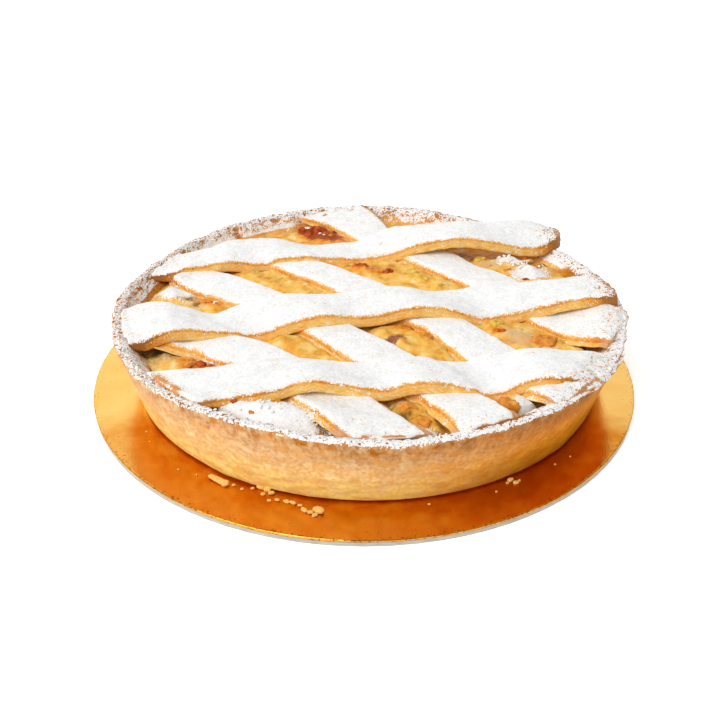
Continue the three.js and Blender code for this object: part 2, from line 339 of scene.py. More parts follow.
# Painted reflection: the deeper gold in front, near the foot and on the right stands for the
# mirrored, shaded wall of the crust.
in_front = smoothstep(0.32, 0.50, -np.sin(angles) + grain(rings, (0.03, 5, 3)))
near_foot = 1 - smoothstep(121, 133, radius)
on_the_right = smoothstep(0.0, 0.8, np.cos(angles))
greased = in_front * (0.75 + 0.45 * near_foot + 0.35 * on_the_right)
card_foil = skin("card_foil", rings, gold_film, worn=worn, greased=greased)
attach(card_foil, "root")
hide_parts("cake_board")


# ---------------------------------------------------------------- crust
# Shortcrust pastry, pressed into a flared tin and baked in it. The wall is smooth where it
# met the tin and paler and drier towards the rim, which is uneven and deep in icing sugar.

CRUST_SIDES = 900
CRUST_FOOT_RADIUS = 119.2
CRUST_FOOT_ROUND = 1.6
CRUST_FLOOR_THICKNESS = 5
RIM_Z = 41.3
RIM_ROUND = 1.7
WALL_INSIDE_FOOT_RADIUS = 111.5
WALL_INSIDE_RADIUS = 117
RIM_INSIDE_RADIUS = 122.6
FILLING_EDGE_Z = 32
# Waves round the rim: how many, their height in mm and their phase in degrees.
RIM_WAVES = [
    (1, 0.9, -148), (2, 0.6, 160), (3, 0.8, -42), (4, 0.6, -12), (6, 0.6, 20), (7, 0.5, -91),
]
# The worn round top of the rim, from outside to inside: radius, and height over its level.
RIM_TOP = [(127.3, 0.1), (126.4, 0.1), (125.6, -0.1), (124.8, -0.5), (124, -1.2)]
RIM_SHOULDER = 2.4
# The rough crest of the rim fades out this far below its level.
CREST_HEIGHT = 7
# A fold in the dough, where the lining was lapped: its bearing, width and depth.
FOLD_BEARING = math.radians(129.6)
FOLD_WIDTH = 1.6
FOLD_DEPTH = 1.8
# The sugar that spilled over the rim fades down the wall over this reach.
SPILL_REACH = 1.8
# Bearings at which the sugar slid or was knocked off the rim, and how much of it.
SUGAR_WORN_OFF = [(116, 0.55), (71, 0.85), (34, 0.3), (166, 0.4)]
# Bearings at which the strips' ends were pressed down, so that little sugar stayed on the rim,
# and how far that reaches in degrees.
ENDS_PRESSED_AT = (-64, -43)
ENDS_PRESSED_REACH = 6.5

crust_low, crust_high = (np.array(corner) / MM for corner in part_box("crust"))
PIE_CENTRE = (crust_low[:2] + crust_high[:2]) / 2
CRUST_FOOT_Z = crust_low[2]
RIM_RADIUS = (crust_high[0] - crust_low[0]) / 2


def rim_wave(angle):
    """How far the uneven rim stands above or below its level."""
    return sum(
        height * np.cos(count * angle - math.radians(phase)) for count, height, phase in RIM_WAVES
    )


def outward(rings):
    """The unit direction out of each point of a skin's rings."""
    along = np.gradient(rings, axis=0)
    round_it = np.roll(rings, -1, axis=1) - np.roll(rings, 1, axis=1)
    out = np.cross(along, round_it)
    if np.sum(out * (rings - rings.mean(axis=(0, 1)))) < 0:
        out = -out
    return out / np.maximum(np.linalg.norm(out, axis=-1, keepdims=True), 1e-9)


def between(start, end, steps):
    """Points from start up to end, without the end."""
    return [tuple(point) for point in np.linspace(start, end, steps, endpoint=False)]


def lay_sugar(tree, shader, pastry, pastry_height, fringe=0.0):
    """Finishes a pastry material with the icing sugar that was sifted over it.

    Icing sugar: a fine powder that hides what it lies on, matt and white with a grain like
    orange peel. It ends in specks, because it sticks in clumps of about a millimetre, and a
    few tan crumbs and pinholes show in it. Its own grain is far finer than a millimetre, and
    is drawn coarser so that it shows. The mesh says where the sugar lies, and the fringe, a
    socket or a number, shifts its edge.
    """
    place = add_node(tree, "TexCoord").outputs["Object"]
    cover, pinholed = [
        add_node(tree, "Attribute", attribute_name=paint).outputs["Fac"]
        for paint in ("sugared", "pinholed")
    ]
    clumps, drifts, holes, peel, crumbs = [
        add_node(tree, "TexNoise", {"Vector": place, "Scale": 1 / (size * MM), "Detail": detail})
        for size, detail in ((0.8, 2.5), (6, 2), (1.8, 1.5), (1.3, 3), (0.9, 1))
    ]
    ragged = add_node(tree, "MapRange", (clumps, 0.32, 0.90, -0.95, 1.9))
    patchy = add_node(tree, "Math", (drifts, 1.4, -0.7), operation="MULTIPLY_ADD")
    level = cover
    for part in (ragged, patchy, fringe):
        level = add_node(tree, "Math", (level, part), operation="ADD")
    hole = add_node(tree, "MapRange", (holes, 0.56, 0.64))
    bare = add_node(tree, "Math", (hole, pinholed), operation="MULTIPLY")
    level = add_node(tree, "Math", (level, bare), operation="SUBTRACT")
    mask = add_node(tree, "MapRange", (level, 0.34, 0.66))
    # Painted shade: the hollows of the peel grain are coloured a little greyer.
    hollow_shade = add_node(tree, "MapRange", (peel, 0.34, 0.62))
    peel_shade = add_node(tree, "MixRGB", (hollow_shade, "#F0F0F0", "#FFFFFF"))
    thin = add_node(tree, "MapRange", (drifts, 0.36, 0.55))
    even = add_node(tree, "MixRGB", (thin, "#F6F6F5", "#FCFCFA"))
    powder = add_node(tree, "MixRGB", (1.0, peel_shade, even), blend_type="MULTIPLY")
    crumb_level = add_node(tree, "Math", (pinholed, 0.10, crumbs), operation="MULTIPLY_ADD")
    crumb = add_node(tree, "MapRange", (crumb_level, 0.72, 0.82))
    speckled = add_node(tree, "MixRGB", (crumb, powder, "#C7B196"))
    colour = add_node(tree, "MixRGB", (mask, pastry, speckled))
    grit = add_node(tree, "Math", (clumps, peel), operation="ADD")
    height = add_node(tree, "Math", (grit, mask), operation="MULTIPLY")
    below = add_node(tree, "Bump", {"Height": pastry_height, "Distance": 0.25 * MM, "Strength": 0.5})
    bump = add_node(tree, "Bump", {
        "Height": height, "Distance": 0.09 * MM, "Strength": 0.45, "Normal": below,
    })
    dull = add_node(tree, "MapRange", (mask, 0, 1, 0.62, 0.95))
    set_inputs(shader, {
        "Base Color": colour, "Roughness": dull, "Normal": bump,
        "IOR": 1.45, "Specular IOR Level": 0.25,
    })


# Shortcrust baked against tin: sandy and matt, golden at the foot and tan with a floury haze
# near the rim, with fine pits where butter melted out. Its browning and tan also hold painted
# shade on the right of the wall and on the shaded inside of the rim.
tin_baked, tree, shader = new_material("tin_baked_shortcrust")
place = add_node(tree, "TexCoord").outputs["Object"]
height = add_node(tree, "SeparateXYZ", (place,)).outputs["Z"]
inner, browned, tanned, hazed = [
    add_node(tree, "Attribute", attribute_name=paint).outputs["Fac"]
    for paint in ("inner", "browned", "tanned", "hazed")
]
flat_place, steep_place = [
    add_node(tree, "Mapping", {"Vector": place, "Scale": (1, 1, squeeze)}) for squeeze in (2.4, 0.45)
]
blotch, sand, runs, flour, amber, smears = [
    add_node(tree, "TexNoise", {"Vector": where, "Scale": 1 / (size * MM), "Detail": detail})
    for where, size, detail in (
        (place, 13, 4), (place, 1.8, 3), (steep_place, 2.4, 3),
        (place, 6, 5), (flat_place, 11, 4), (flat_place, 9, 5),
    )
]
# The bake goes by height, with blotches. The inside is as pale as the wall 17 mm lower down.
uneven = add_node(tree, "Math", (blotch, 16 * MM, -8 * MM), operation="MULTIPLY_ADD")
level = add_node(tree, "Math", (height, uneven), operation="ADD")
level = add_node(tree, "Math", (inner, -17 * MM, level), operation="MULTIPLY_ADD")
rise = add_node(tree, "MapRange", (level, 4 * MM, 42 * MM))
# The bright yellow at the foot is partly the pastry's colour and partly painted light: the light
# that the gold card throws up onto the wall.
finish = add_node(tree, "ValToRGB", (rise,), stops=[
    (0.0, "#FFE67E"), (0.20, "#FFDF82"), (0.48, "#F1C27E"), (0.74, "#DCA976"), (1.0, "#BB8E66"),
])
sand_level = add_node(tree, "MapRange", (sand, 0.32, 0.68))
sandy = add_node(tree, "MixRGB", (sand_level, "#747474", "#FAFAFA"))
finish = add_node(tree, "MixRGB", (0.75, finish, sandy), blend_type="SOFT_LIGHT")
for pattern, low, high, most, colour in (
    (flour, 0.54, 0.70, 0.55, "#FFE6B6"), (amber, 0.50, 0.62, 0.50, "#F0A83C"),
    (smears, 0.42, 0.62, 0.36, "#D09A62"),
):
    amount = add_node(tree, "MapRange", (pattern, low, high, 0, most))
    finish = add_node(tree, "MixRGB", (amount, finish, colour))
for amount, colour in ((browned, "#EEBA36"), (tanned, "#D0C2A0")):
    finish = add_node(tree, "MixRGB", (amount, finish, colour), blend_type="MULTIPLY")
haze_level = add_node(tree, "MapRange", (runs, 0.42, 0.68))
haze = add_node(tree, "Math", (haze_level, hazed), operation="MULTIPLY")
finish = add_node(tree, "MixRGB", (haze, finish, "#E6C592"))
lay_sugar(tree, shader, finish, sand)
# The wall is drier than the cut dough, so it has hardly any sheen.
set_inputs(shader, {"Specular IOR Level": 0.10})

foot_centre = (CRUST_FOOT_RADIUS - CRUST_FOOT_ROUND, CRUST_FOOT_Z + CRUST_FOOT_ROUND)
rim_centre = (RIM_RADIUS - RIM_ROUND, RIM_Z - RIM_ROUND)
floor_z = CRUST_FOOT_Z + CRUST_FLOOR_THICKNESS
foot_arc = arc(foot_centre, CRUST_FOOT_ROUND, -90, -15, 4)
rim_arc = arc(rim_centre, RIM_ROUND, -15, 90, 7)
rim_top = [(radius, RIM_Z + over) for radius, over in RIM_TOP]
rim_shoulder = (RIM_INSIDE_RADIUS + 0.6, RIM_Z - RIM_SHOULDER)
crust_profile = [
    (60, CRUST_FOOT_Z),
    (105, CRUST_FOOT_Z),
    *foot_arc[:-1],
    *between(foot_arc[-1], rim_arc[0], 44),
    *rim_arc,
    *rim_top,
    *between(rim_shoulder, (WALL_INSIDE_RADIUS, FILLING_EDGE_Z), 14),
    *between((WALL_INSIDE_RADIUS, FILLING_EDGE_Z), (WALL_INSIDE_FOOT_RADIUS, floor_z), 8),
    (WALL_INSIDE_FOOT_RADIUS, floor_z),
    (60, floor_z),
]
rings, angles = circles(crust_profile, CRUST_SIDES)
wave = rim_wave(angles)
radius = np.hypot(rings[..., 0], rings[..., 1])
rise = smoothstep(FILLING_EDGE_Z, RIM_Z, rings[..., 2])
rings[..., 2] += wave * rise
row = np.arange(len(crust_profile))[:, None]
outside = (row > 2) & (row < crust_profile.index(rim_arc[-3]))
outer_wall = outside & (rings[..., 2] > CRUST_FOOT_Z + 0.5)
inner_wall = (row > crust_profile.index(rim_top[3])) & (rings[..., 2] > floor_z + 1)
crest = smoothstep(RIM_Z - CREST_HEIGHT, RIM_Z - 1, rings[..., 2] - wave * rise)
fold = np.exp(-((angles - FOLD_BEARING) * radius / FOLD_WIDTH) ** 2) * inner_wall
pushed = outer_wall * grain(rings, (0.55, 26, 11), (0.30, 9, 12), (0.10, 2.2, 13))
pushed += crest * grain(rings, (0.50, 6, 14), (0.45, 2.6, 15), (0.25, 1.3, 16))
pushed += inner_wall * grain(rings, (0.6, 8, 17), (0.35, 2.4, 18)) - FOLD_DEPTH * fold
rings += outward(rings) * pushed[..., None]
rings[..., :2] += PIE_CENTRE


def toward(bearing, low, high):
    """How far each place on the crust faces a bearing in degrees, from 0 to 1."""
    return smoothstep(low, high, np.cos(angles - math.radians(bearing)))


z = rings[..., 2]
from_rim = RIM_Z + wave * smoothstep(FILLING_EDGE_Z, RIM_Z, z) - z
on_top = smoothstep(0.20, 0.70, outward(rings)[..., 2]) * (from_rim < 6)
left, right, front = toward(182, 0.2, 0.9), toward(-22, 0.30, 0.95), toward(-72, 0.55, 0.95)
right_foot_shade, in_light = toward(-48, 0.90, 0.99), toward(-60, 0.5, 0.95)
bare_wall, shaded_wall = toward(17, 0.985, 0.996), toward(163, 0.93, 0.99)

spilled = outside * np.exp(-np.maximum(from_rim - RIM_ROUND, 0) / SPILL_REACH)
drift = grain(rings, (0.55, 4.5, 19), (0.25, 1.8, 20))
sugared = -1.5 + 3.4 * on_top + (0.9 + grain(rings, (1.1, 7, 21))) * spilled * (1 - on_top)
sugared = sugared + drift * crest + (1.75 + 1.3 * drift) * inner_wall * (1 - on_top)
# Less sugar in the fold and on the left crest, and, as painted shade, on the shaded inside on the
# left.
sugared -= 0.55 * fold + 0.35 * shaded_wall * inner_wall + 0.15 * left * crest
sugared -= 2.6 * bare_wall * inner_wall * (1 - crest)
for bearing, lost in SUGAR_WORN_OFF:
    sugared -= lost * toward(bearing, 0.90, 0.98) * (crest + inner_wall * (1 - crest))
for bearing in ENDS_PRESSED_AT:
    away = ((np.degrees(angles) - bearing + 180) % 360 - 180) / ENDS_PRESSED_REACH
    sugared -= 3.2 * np.exp(-away**4 - ((radius - 125.4) / 1.7) ** 2) * crest

blotch = smoothstep(0.0, 0.5, grain(rings, (1, 3.2, 22), (0.3, 9, 23)))
under_rim = np.exp(-((from_rim - 2.8) / 3.8) ** 2) * outside
# Browning from the bake under the rim, on the crest, in the fold and on the inside of the rim. The
# right of the outer wall and the shaded inside on the left are browned further as painted shade.
browned = np.max([
    right * outside * (1 - 0.2 * smoothstep(14, 40, z)),
    0.50 * inner_wall + 0.5 * fold,
    under_rim * (0.25 + 0.3 * front + 0.55 * blotch),
    0.95 * crest * on_top,
    inner_wall * np.maximum(0.85 * shaded_wall, 0.9 * bare_wall),
], axis=0)
under_light = np.exp(-((from_rim - 4) / 8) ** 2) * (0.75 + grain(rings, (0.5, 7, 24)))
# Tan under the rim in front, on the crest and on the bare inside on the right. On the shaded inside
# on the left and at the foot of the right wall it is painted shade.
tanned = np.max([
    outside * in_light * under_light,
    0.9 * crest * on_top,
    inner_wall * np.maximum(bare_wall, shaded_wall),
    0.6 * outside * right_foot_shade * (1 - smoothstep(10, 26, z)),
], axis=0)
# Less haze on the right keeps that side darker: painted shade.
hazed = outside * 0.6 * smoothstep(22, RIM_Z, z) * (1 - 0.8 * right)
hazed = hazed + 0.2 * inner_wall * toward(165, 0.3, 0.9)
crust = skin(
    "crust_pastry", rings, tin_baked,
    sugared=sugared, hazed=hazed, browned=browned, pinholed=crest * (1.5 + 1.1 * left),
    tanned=tanned, inner=np.maximum(inner_wall * (1 - 0.5 * crest), 0.35 * crest * on_top),
)
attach(crust, "root")
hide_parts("crust")


# ---------------------------------------------------------------- diagonal strips
# Four ribbons of the same dough, rolled out and cut with a knife. They lie along the diagonal
# on the filling, sink a little into it, and are pinched off against the inside of the rim.

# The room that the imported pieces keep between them, which the dough fills here.
GAP = 0.65
STRIP_THICKNESS = 5.2
STRIP_STEP = 0.8
# A cut end has finer steps over this length.
CUT_LENGTH = 3
# A strip's heading is taken between two points this far ahead and behind.
HEADING_REACH = 2
BOTTOM_ARRIS = 1.2
STRIP_CROWN = 0.8
CORNER_ROUND = 4.0
END_ROUND = 1.8
PINCH_REACH = 16
PINCH_SOFTNESS = 1.5
PINCHED_LENGTH = 14
# The ends are pressed into what they lie on, this deep and over this length.
PRESSED_ON = 0.9
PRESSED_LENGTH = 5
BEND_RADIUS = 6
SAG_RADIUS = 5
# Near the rim the strips leave the filling and run up at this slope, and end this far under
# the rim. They press into what they bridge by the last value.
RUN_UP = 0.26
RUN_UP_END = 1.6
PRESSED_IN_BED = 0.3
CLING = 1.0
# How far the underside of a hung strip settles toward what lies below it.
SETTLING = 1.7

# Each strip: its path on plan as [x, y, width] places, and how each end finishes: None where
# it was cut, or the radii at which its right and left corners were pinched off, seen along
# the path, and the shares of its thickness left there. The top edges are rounded by the arris,
# the sides lean out by the slump, and specked says how much baked specks break the sugar at
# each end.
DIAGONAL_STRIPS = {
    "strip_diagonal_1": dict(
        path=[
            (-104, -29, 19), (-92, -32, 19), (-78, -35, 19), (-65, -43, 22), (-51, -51, 24),
            (-33, -68, 26), (-19, -83, 28), (-9, -93, 29), (1, -107, 31), (10, -121, 30),
        ],
        ends=(None, (123.5, 122.0, 0.65, 0.5)), arris=3.3, slump=2.6, specked=(0.2, 0.25),
    ),
    "strip_diagonal_2": dict(
        path=[
            (-99, 43, 22), (-79, 27, 25.5), (-62, 12, 25.5), (-37, -9, 24), (-16, -30, 22),
            (2, -48, 24), (26, -70, 24), (41, -89, 24.5), (48, -104, 27), (54, -118, 30),
        ],
        ends=(None, (127.0, 124.8, 0.25, 0.65)), arris=3.3, slump=2.4, specked=(0.2, 0.25),
    ),
    "strip_diagonal_3": dict(
        path=[
            (-54, 64, 20), (-36, 47, 23), (-18, 31, 23.5), (-3, 16, 25.5), (17, -3, 25),
            (37, -20, 23), (48, -34, 25), (59, -49, 27), (72, -63, 28.5), (85, -76, 30),
            (97, -88, 32),
        ],
        ends=(None, (126.2, 131.4, 0.5, 0.35)), arris=3.2, slump=2.2, specked=(0.2, 0.5),
    ),
    "strip_diagonal_4": dict(
        path=[
            (-21, 127, 40), (-4, 108, 28), (13, 84, 28), (26, 70, 29), (39, 57, 29), (55, 37, 25.5),
            (67, 27, 28), (80, 8, 30), (97, -8, 32), (111, -19, 35), (124, -27, 36),
        ],
        ends=((120.5, 127.0, 0.25, 0.2), (123.0, 130.6, 0.90, 0.10)),
        arris=3.2, slump=1.8, specked=(0.35, 0.6),
    ),
}
# Dusted says how much sugar stayed on the sides, bared how far the top's edge shows through
# it, and baked how brown the sides of the ends are.
DIAGONAL_FINISH = dict(dusted=1.0, bared=0.5, baked=0)

MAP_STEP = 1.0
MAP_HALF = 136
MAP_REACH = 26

filling_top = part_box("filling")[1][2] / MM
map_axis = np.arange(-MAP_HALF, MAP_HALF + MAP_STEP, MAP_STEP)
map_x, map_y = np.meshgrid(map_axis, map_axis)
map_radius = np.hypot(map_x - PIE_CENTRE[0], map_y - PIE_CENTRE[1])


def dome(radius):
    """The height of the filling before it swells, at a radius."""
    return filling_top - (filling_top - FILLING_EDGE_Z) * (radius / WALL_INSIDE_RADIUS) ** 2


def read_map(heights, x, y):
    """Reads a map of heights at places between its cells."""
    across = np.clip((x + MAP_HALF) / MAP_STEP, 0, len(map_axis) - 1.001)
    up = np.clip((y + MAP_HALF) / MAP_STEP, 0, len(map_axis) - 1.001)
    column, row = across.astype(int), up.astype(int)
    across, up = across - column, up - row
    near = heights[row, column] * (1 - across) + heights[row, column + 1] * across
    far = heights[row + 1, column] * (1 - across) + heights[row + 1, column + 1] * across
    return near * (1 - up) + far * up


def rolled(heights, radius, sign):
    """Rolls a bowl over a map: sign 1 covers its heights, and sign -1 presses back down."""
    for axis in (1, 0):
        padded = np.pad(sign * heights, MAP_REACH, mode="edge")
        best = np.full(heights.shape, -np.inf)
        for away in range(-MAP_REACH, MAP_REACH + 1):
            row, column = (0, away) if axis == 1 else (away, 0)
            part = padded[
                MAP_REACH + row:MAP_REACH + row + heights.shape[0],
                MAP_REACH + column:MAP_REACH + column + heights.shape[1],
            ]
            best = np.maximum(best, part - (away * MAP_STEP) ** 2 / (2 * radius))
        heights = sign * best
    return heights


def blurred(heights, reach):
    """Evens out a map over squares of the given reach, twice."""
    for axis in (0, 1, 0, 1):
        shifted = [np.roll(heights, away, axis=axis) for away in range(-reach, reach + 1)]
        heights = np.mean(shifted, axis=0)
    return heights


def draped(heights, pressed_in):
    """The underside of dough laid over a map: it bridges hollows, and is pressed into edges."""
    bridged = rolled(rolled(heights, SAG_RADIUS + BEND_RADIUS, 1), SAG_RADIUS, -1)
    return np.maximum(blurred(bridged, 3), heights - pressed_in)


def strip_path(places):
    """A smooth run through [x, y, width] places, and its length up to each of its points."""
    places = np.array(places, float)
    first, last = 2 * places[0] - places[1], 2 * places[-1] - places[-2]
    padded = np.vstack([first, places, last])
    part = np.linspace(0, 1, 40, endpoint=False)[:, None]
    spans = []
    for before, start, end, after in zip(padded, padded[1:], padded[2:], padded[3:]):
        leaving, arriving = (end - before) / 2, (after - start) / 2
        spans.append(
            start + part * leaving
            + part**2 * (3 * (end - start) - 2 * leaving - arriving)
            + part**3 * (2 * (start - end) + leaving + arriving)
        )
    path = np.vstack([*spans, places[-1:]])
    length = np.concatenate([[0], np.cumsum(np.hypot(*np.diff(path[:, :2], axis=0).T))])
    return path, length


def section(arris, slump):
    """A strip's outline, once round: side, share of the flat, inset, drop, top or bottom, crown.

    A point on a flat has the share of the flat's half width that it lies at. A point of an
    arris or a side has its inset from the strip's edge. Each stands at the top or the bottom,
    and the drop goes down from the top or up from the bottom. The sides lean out by the slump,
    and the crown says how far a point belongs to the top.
    """
    top = [
        (arris * (1 - math.sin(turn)), arris * (1 - math.cos(turn)), 1, math.cos(turn))
        for turn in np.radians(np.linspace(0, 90, 7))
    ]
    upright = STRIP_THICKNESS + GAP - STRIP_CROWN - arris - BOTTOM_ARRIS
    top.append((-0.5 * slump, arris + 0.5 * upright, 1, 0))
    low = [
        (BOTTOM_ARRIS * (1 - math.sin(turn)) - slump, BOTTOM_ARRIS * (1 - math.cos(turn)), 0, 0)
        for turn in np.radians(np.linspace(90, 0, 4))
    ]
    rows = [(0, share, arris, 0, 1, 1) for share in np.linspace(-1, 1, 34)[:-1]]
    rows += [(1, 0, *point) for point in top + low]
    rows += [(0, share, BOTTOM_ARRIS - slump, 0, 0, 0) for share in np.linspace(1, -1, 10)[1:-1]]
    rows += [(-1, 0, *point) for point in (top + low)[:0:-1]]
    return np.array(rows).T


def strip_rings(strip, underside, seed):
    """The rings of one strip laid on an underside map, and what its finish depends on: how far
    each point is from an end, and whether it lies on the upper part."""
    path, length = strip_path(strip["path"])
    total = length[-1]
    side, share, inset, drop, from_top, crown = section(strip["arris"], strip["slump"])
    ends = strip["ends"]

    # Cut ends have finer steps, and pinched ends reach past the rim before they are trimmed.
    fine = np.linspace(0, CUT_LENGTH, 8)
    first = -PINCH_REACH if ends[0] else CUT_LENGTH
    last = total + PINCH_REACH if ends[1] else total - CUT_LENGTH
    steps = np.linspace(first, last, int((last - first) / STRIP_STEP))
    if not ends[0]:
        steps = np.concatenate([fine[:-1], steps])
    if not ends[1]:
        steps = np.concatenate([steps, total - fine[-2::-1]])
    along = steps[:, None]

    inside = np.clip(steps, 0, total)
    ahead, behind, middle = [
        np.stack([np.interp(inside + away, length, path[:, axis]) for axis in (0, 1)])
        for away in (HEADING_REACH, -HEADING_REACH, 0)
    ]
    heading = (ahead - behind) / np.hypot(*(ahead - behind))
    middle = middle + heading * (steps - inside)

    half = np.interp(inside, length, path[:, 2])[:, None] / 2
    cut_gap = np.full(along.shape, 99.0)
    for end, gap in zip(ends, (along, total - along)):
        if not end:
            cut_gap = np.minimum(cut_gap, gap)
    corner = np.clip(CORNER_ROUND - cut_gap, 0, CORNER_ROUND)
    half = half - CORNER_ROUND + np.sqrt(CORNER_ROUND**2 - corner**2)
    edge = np.stack([steps, 0 * steps + seed, 0 * steps], axis=-1)
    left, right = [
        half + grain(edge, (0.6, 14, edge_seed), (0.32, 4, edge_seed + 1))[:, None]
        for edge_seed in (seed, seed + 2)
    ]
    way = np.where(side == 0, share, side)
    offset = way * (np.where(way > 0, left, right) - inset)
    x = middle[0][:, None] - heading[1][:, None] * offset
    y = middle[1][:, None] + heading[0][:, None] * offset
    toward_left = np.clip(0.5 + 0.5 * offset / half, 0, 1)

    # Pinched ends are trimmed to a circle just inside the rim, and thin out towards it.
    end_gap = cut_gap + 0 * x
    thinned = np.ones(x.shape)
    for pinch, near in zip(ends, (along < total / 2, along >= total / 2)):
        if not pinch:
            continue
        circle = pinch[0] + (pinch[1] - pinch[0]) * toward_left
        circle = circle + grain(np.stack([x, y, 0 * x], axis=-1), (0.8, 5, seed + 9))
        radius = np.hypot(x - PIE_CENTRE[0], y - PIE_CENTRE[1])
        past = np.maximum(radius - (circle - PINCH_SOFTNESS), 0)
        trimmed = circle - PINCH_SOFTNESS * np.exp(-past / PINCH_SOFTNESS)
        kept = np.where(near & (past > 0), trimmed, radius)
        x = PIE_CENTRE[0] + (x - PIE_CENTRE[0]) * kept / radius
        y = PIE_CENTRE[1] + (y - PIE_CENTRE[1]) * kept / radius
        gap = np.where(near, circle - kept, 99)
        end_gap = np.minimum(end_gap, gap)
        kept_share = pinch[2] + (pinch[3] - pinch[2]) * toward_left
        thinned *= 1 - (1 - kept_share) * (1 - smoothstep(0, PINCHED_LENGTH, gap))
        thinned *= np.sqrt(1 - np.clip(1 - gap / PINCH_SOFTNESS, 0, 0.999) ** 2)

    laid_on = read_map(underside, x, y)
    bottom = laid_on + 0.05 - PRESSED_ON * (1 - smoothstep(0, PRESSED_LENGTH, end_gap))
    if path.shape[1] > 3:
        front_z, back_z = [np.interp(inside, length, path[:, axis])[:, None] for axis in (3, 4)]
        hung = front_z + (back_z - front_z) * toward_left - STRIP_THICKNESS - GAP + STRIP_CROWN
        bottom = (hung + bottom + np.hypot(hung - bottom, CLING)) / 2
    settled = np.clip(bottom - laid_on, 0, SETTLING)
    bottom = bottom - settled
    end_rounding = np.clip(END_ROUND - cut_gap, 0, END_ROUND)
    end_drop = END_ROUND - np.sqrt(END_ROUND**2 - end_rounding**2)
    slow = 1 + grain(np.stack([x, y, 0 * x], axis=-1), (0.06, 30, seed + 4))
    thick = (STRIP_THICKNESS + GAP) * slow + settled - STRIP_CROWN * (offset / half) ** 2 - end_drop
    rise = np.where(from_top > 0, thick - drop, drop)
    z = bottom + np.maximum(rise, 0.02) * thinned
    whole = np.zeros(x.shape)
    return np.stack([x, y, z], axis=-1), dict(
        end_gap=end_gap, bottom=bottom, over=from_top + whole > 0, crown=crown + whole,
        along=along + whole,
    )


def marked(heights, points, z, keep):
    """A map with the heights of points added to it. It keeps the highest of each cell, where
    keep is np.maximum, or the lowest, where it is np.minimum."""
    cells = [np.rint((points[..., axis] + MAP_HALF) / MAP_STEP).astype(int) for axis in (1, 0)]
    heights = heights.copy()
    keep.at(heights, tuple(cells), z)
    return heights


# Knife-cut shortcrust: golden on its sides with streaks along the cut, toasted orange along
# the upper edges that stood nearest the heat, under a thick layer of icing sugar.
knife_cut, tree, shader = new_material("knife_cut_shortcrust")
place = add_node(tree, "TexCoord").outputs["Object"]
along, girth, browned, hazed = [
    add_node(tree, "Attribute", attribute_name=paint).outputs["Fac"]
    for paint in ("along", "girth", "browned", "hazed")
]
sand = add_node(tree, "TexNoise", {"Vector": place, "Scale": 1 / (1.2 * MM), "Detail": 3})
drawn_out = add_node(tree, "Math", (along, 0.22), operation="MULTIPLY")
fibre_place = add_node(tree, "CombineXYZ", (drawn_out, girth))
fibres = add_node(tree, "TexNoise", {"Vector": fibre_place, "Scale": 1 / 0.9, "Detail": 3})
streaks = add_node(tree, "MapRange", (fibres, 0.34, 0.66))
dough = add_node(tree, "MixRGB", (streaks, "#EDAA44", "#FFDE90"))
sandy = add_node(tree, "MixRGB", (sand, "#6E6E6E", "#FFFFFF"))
finish = add_node(tree, "MixRGB", (0.35, dough, sandy), blend_type="SOFT_LIGHT")
rough = add_node(tree, "Math", (sand, fibres), operation="ADD")
rough = add_node(tree, "Math", (rough, 1.3, -1.3), operation="MULTIPLY_ADD")
toast = add_node(tree, "Math", (rough, browned), operation="ADD")
for low, high, colour in ((0.2, 0.9, "#DE8E24"), (0.9, 1.5, "#A0652A")):
    amount = add_node(tree, "MapRange", (toast, low, high))
    finish = add_node(tree, "MixRGB", (amount, finish, colour))
finish = add_node(tree, "MixRGB", (hazed, finish, "#D9A27C"))
fringe = add_node(tree, "Math", (fibres, 3.2, -1.6), operation="MULTIPLY_ADD")
lay_sugar(tree, shader, finish, sand, fringe)

# What the first strips lie on: the filling, the inside of the wall, the rim and the run up.
wall_rise = RIM_Z - RIM_SHOULDER - FILLING_EDGE_Z
wall_slope = wall_rise / (RIM_INSIDE_RADIUS - WALL_INSIDE_RADIUS)
on_wall = FILLING_EDGE_Z + (map_radius - WALL_INSIDE_RADIUS + GAP) * wall_slope
on_rim = RIM_Z - np.maximum(0, RIM_INSIDE_RADIUS + 1.4 - map_radius)
crust_z = np.minimum(on_wall, on_rim)
map_wave = rim_wave(np.arctan2(map_y - PIE_CENTRE[1], map_x - PIE_CENTRE[0]))
crust_z = crust_z + map_wave * smoothstep(FILLING_EDGE_Z, RIM_Z, crust_z)
run_up = RIM_Z - RUN_UP_END + map_wave - RUN_UP * np.maximum(0, RIM_INSIDE_RADIUS - map_radius)
strip_bed = np.max([dome(map_radius), crust_z, run_up], axis=0)
on_bed = draped(strip_bed, PRESSED_IN_BED)

# Places on plan where the sugar also fell on what lies low: x, y, reach along x, reach along y.
SIFTED_LOW = [
    (-42, -101, 38, 18), (-62, -50, 20, 7), (-98, 15, 11, 9), (-104, 20, 9, 10), (82, 59, 11, 8),
    (93, 43, 12, 8), (88, 37, 10, 6), (71, -90, 7, 6), (68.5, -94, 3, 7), (77, -91, 7, 5),
    (-104, 60, 9, 16), (-20, 99, 5, 3), (-96, 20, 8, 5), (-66, -84, 12, 6), (22, -108, 12, 3.5),
]
# Places on plan where the sugar was rubbed off the strips' tops: x, y, reach along, reach
# across, turn, how much.
RUBBED_OFF = [
    (-90.5, -77, 8, 2.6, -50, 2.3), (-81.5, -86.5, 4.5, 2, -43, 2.1), (12, 3, 8, 0.9, 8, 2.4),
    (97, -83, 10, 0.8, 48, 3), (-24, 116, 2.2, 1.6, 60, 2.6), (-8, 122, 3, 1.5, 20, 1.8),
    (124, 6, 2.5, 9, 10, 1.1), (112, 77, 3.5, 6, 10, 1),
]


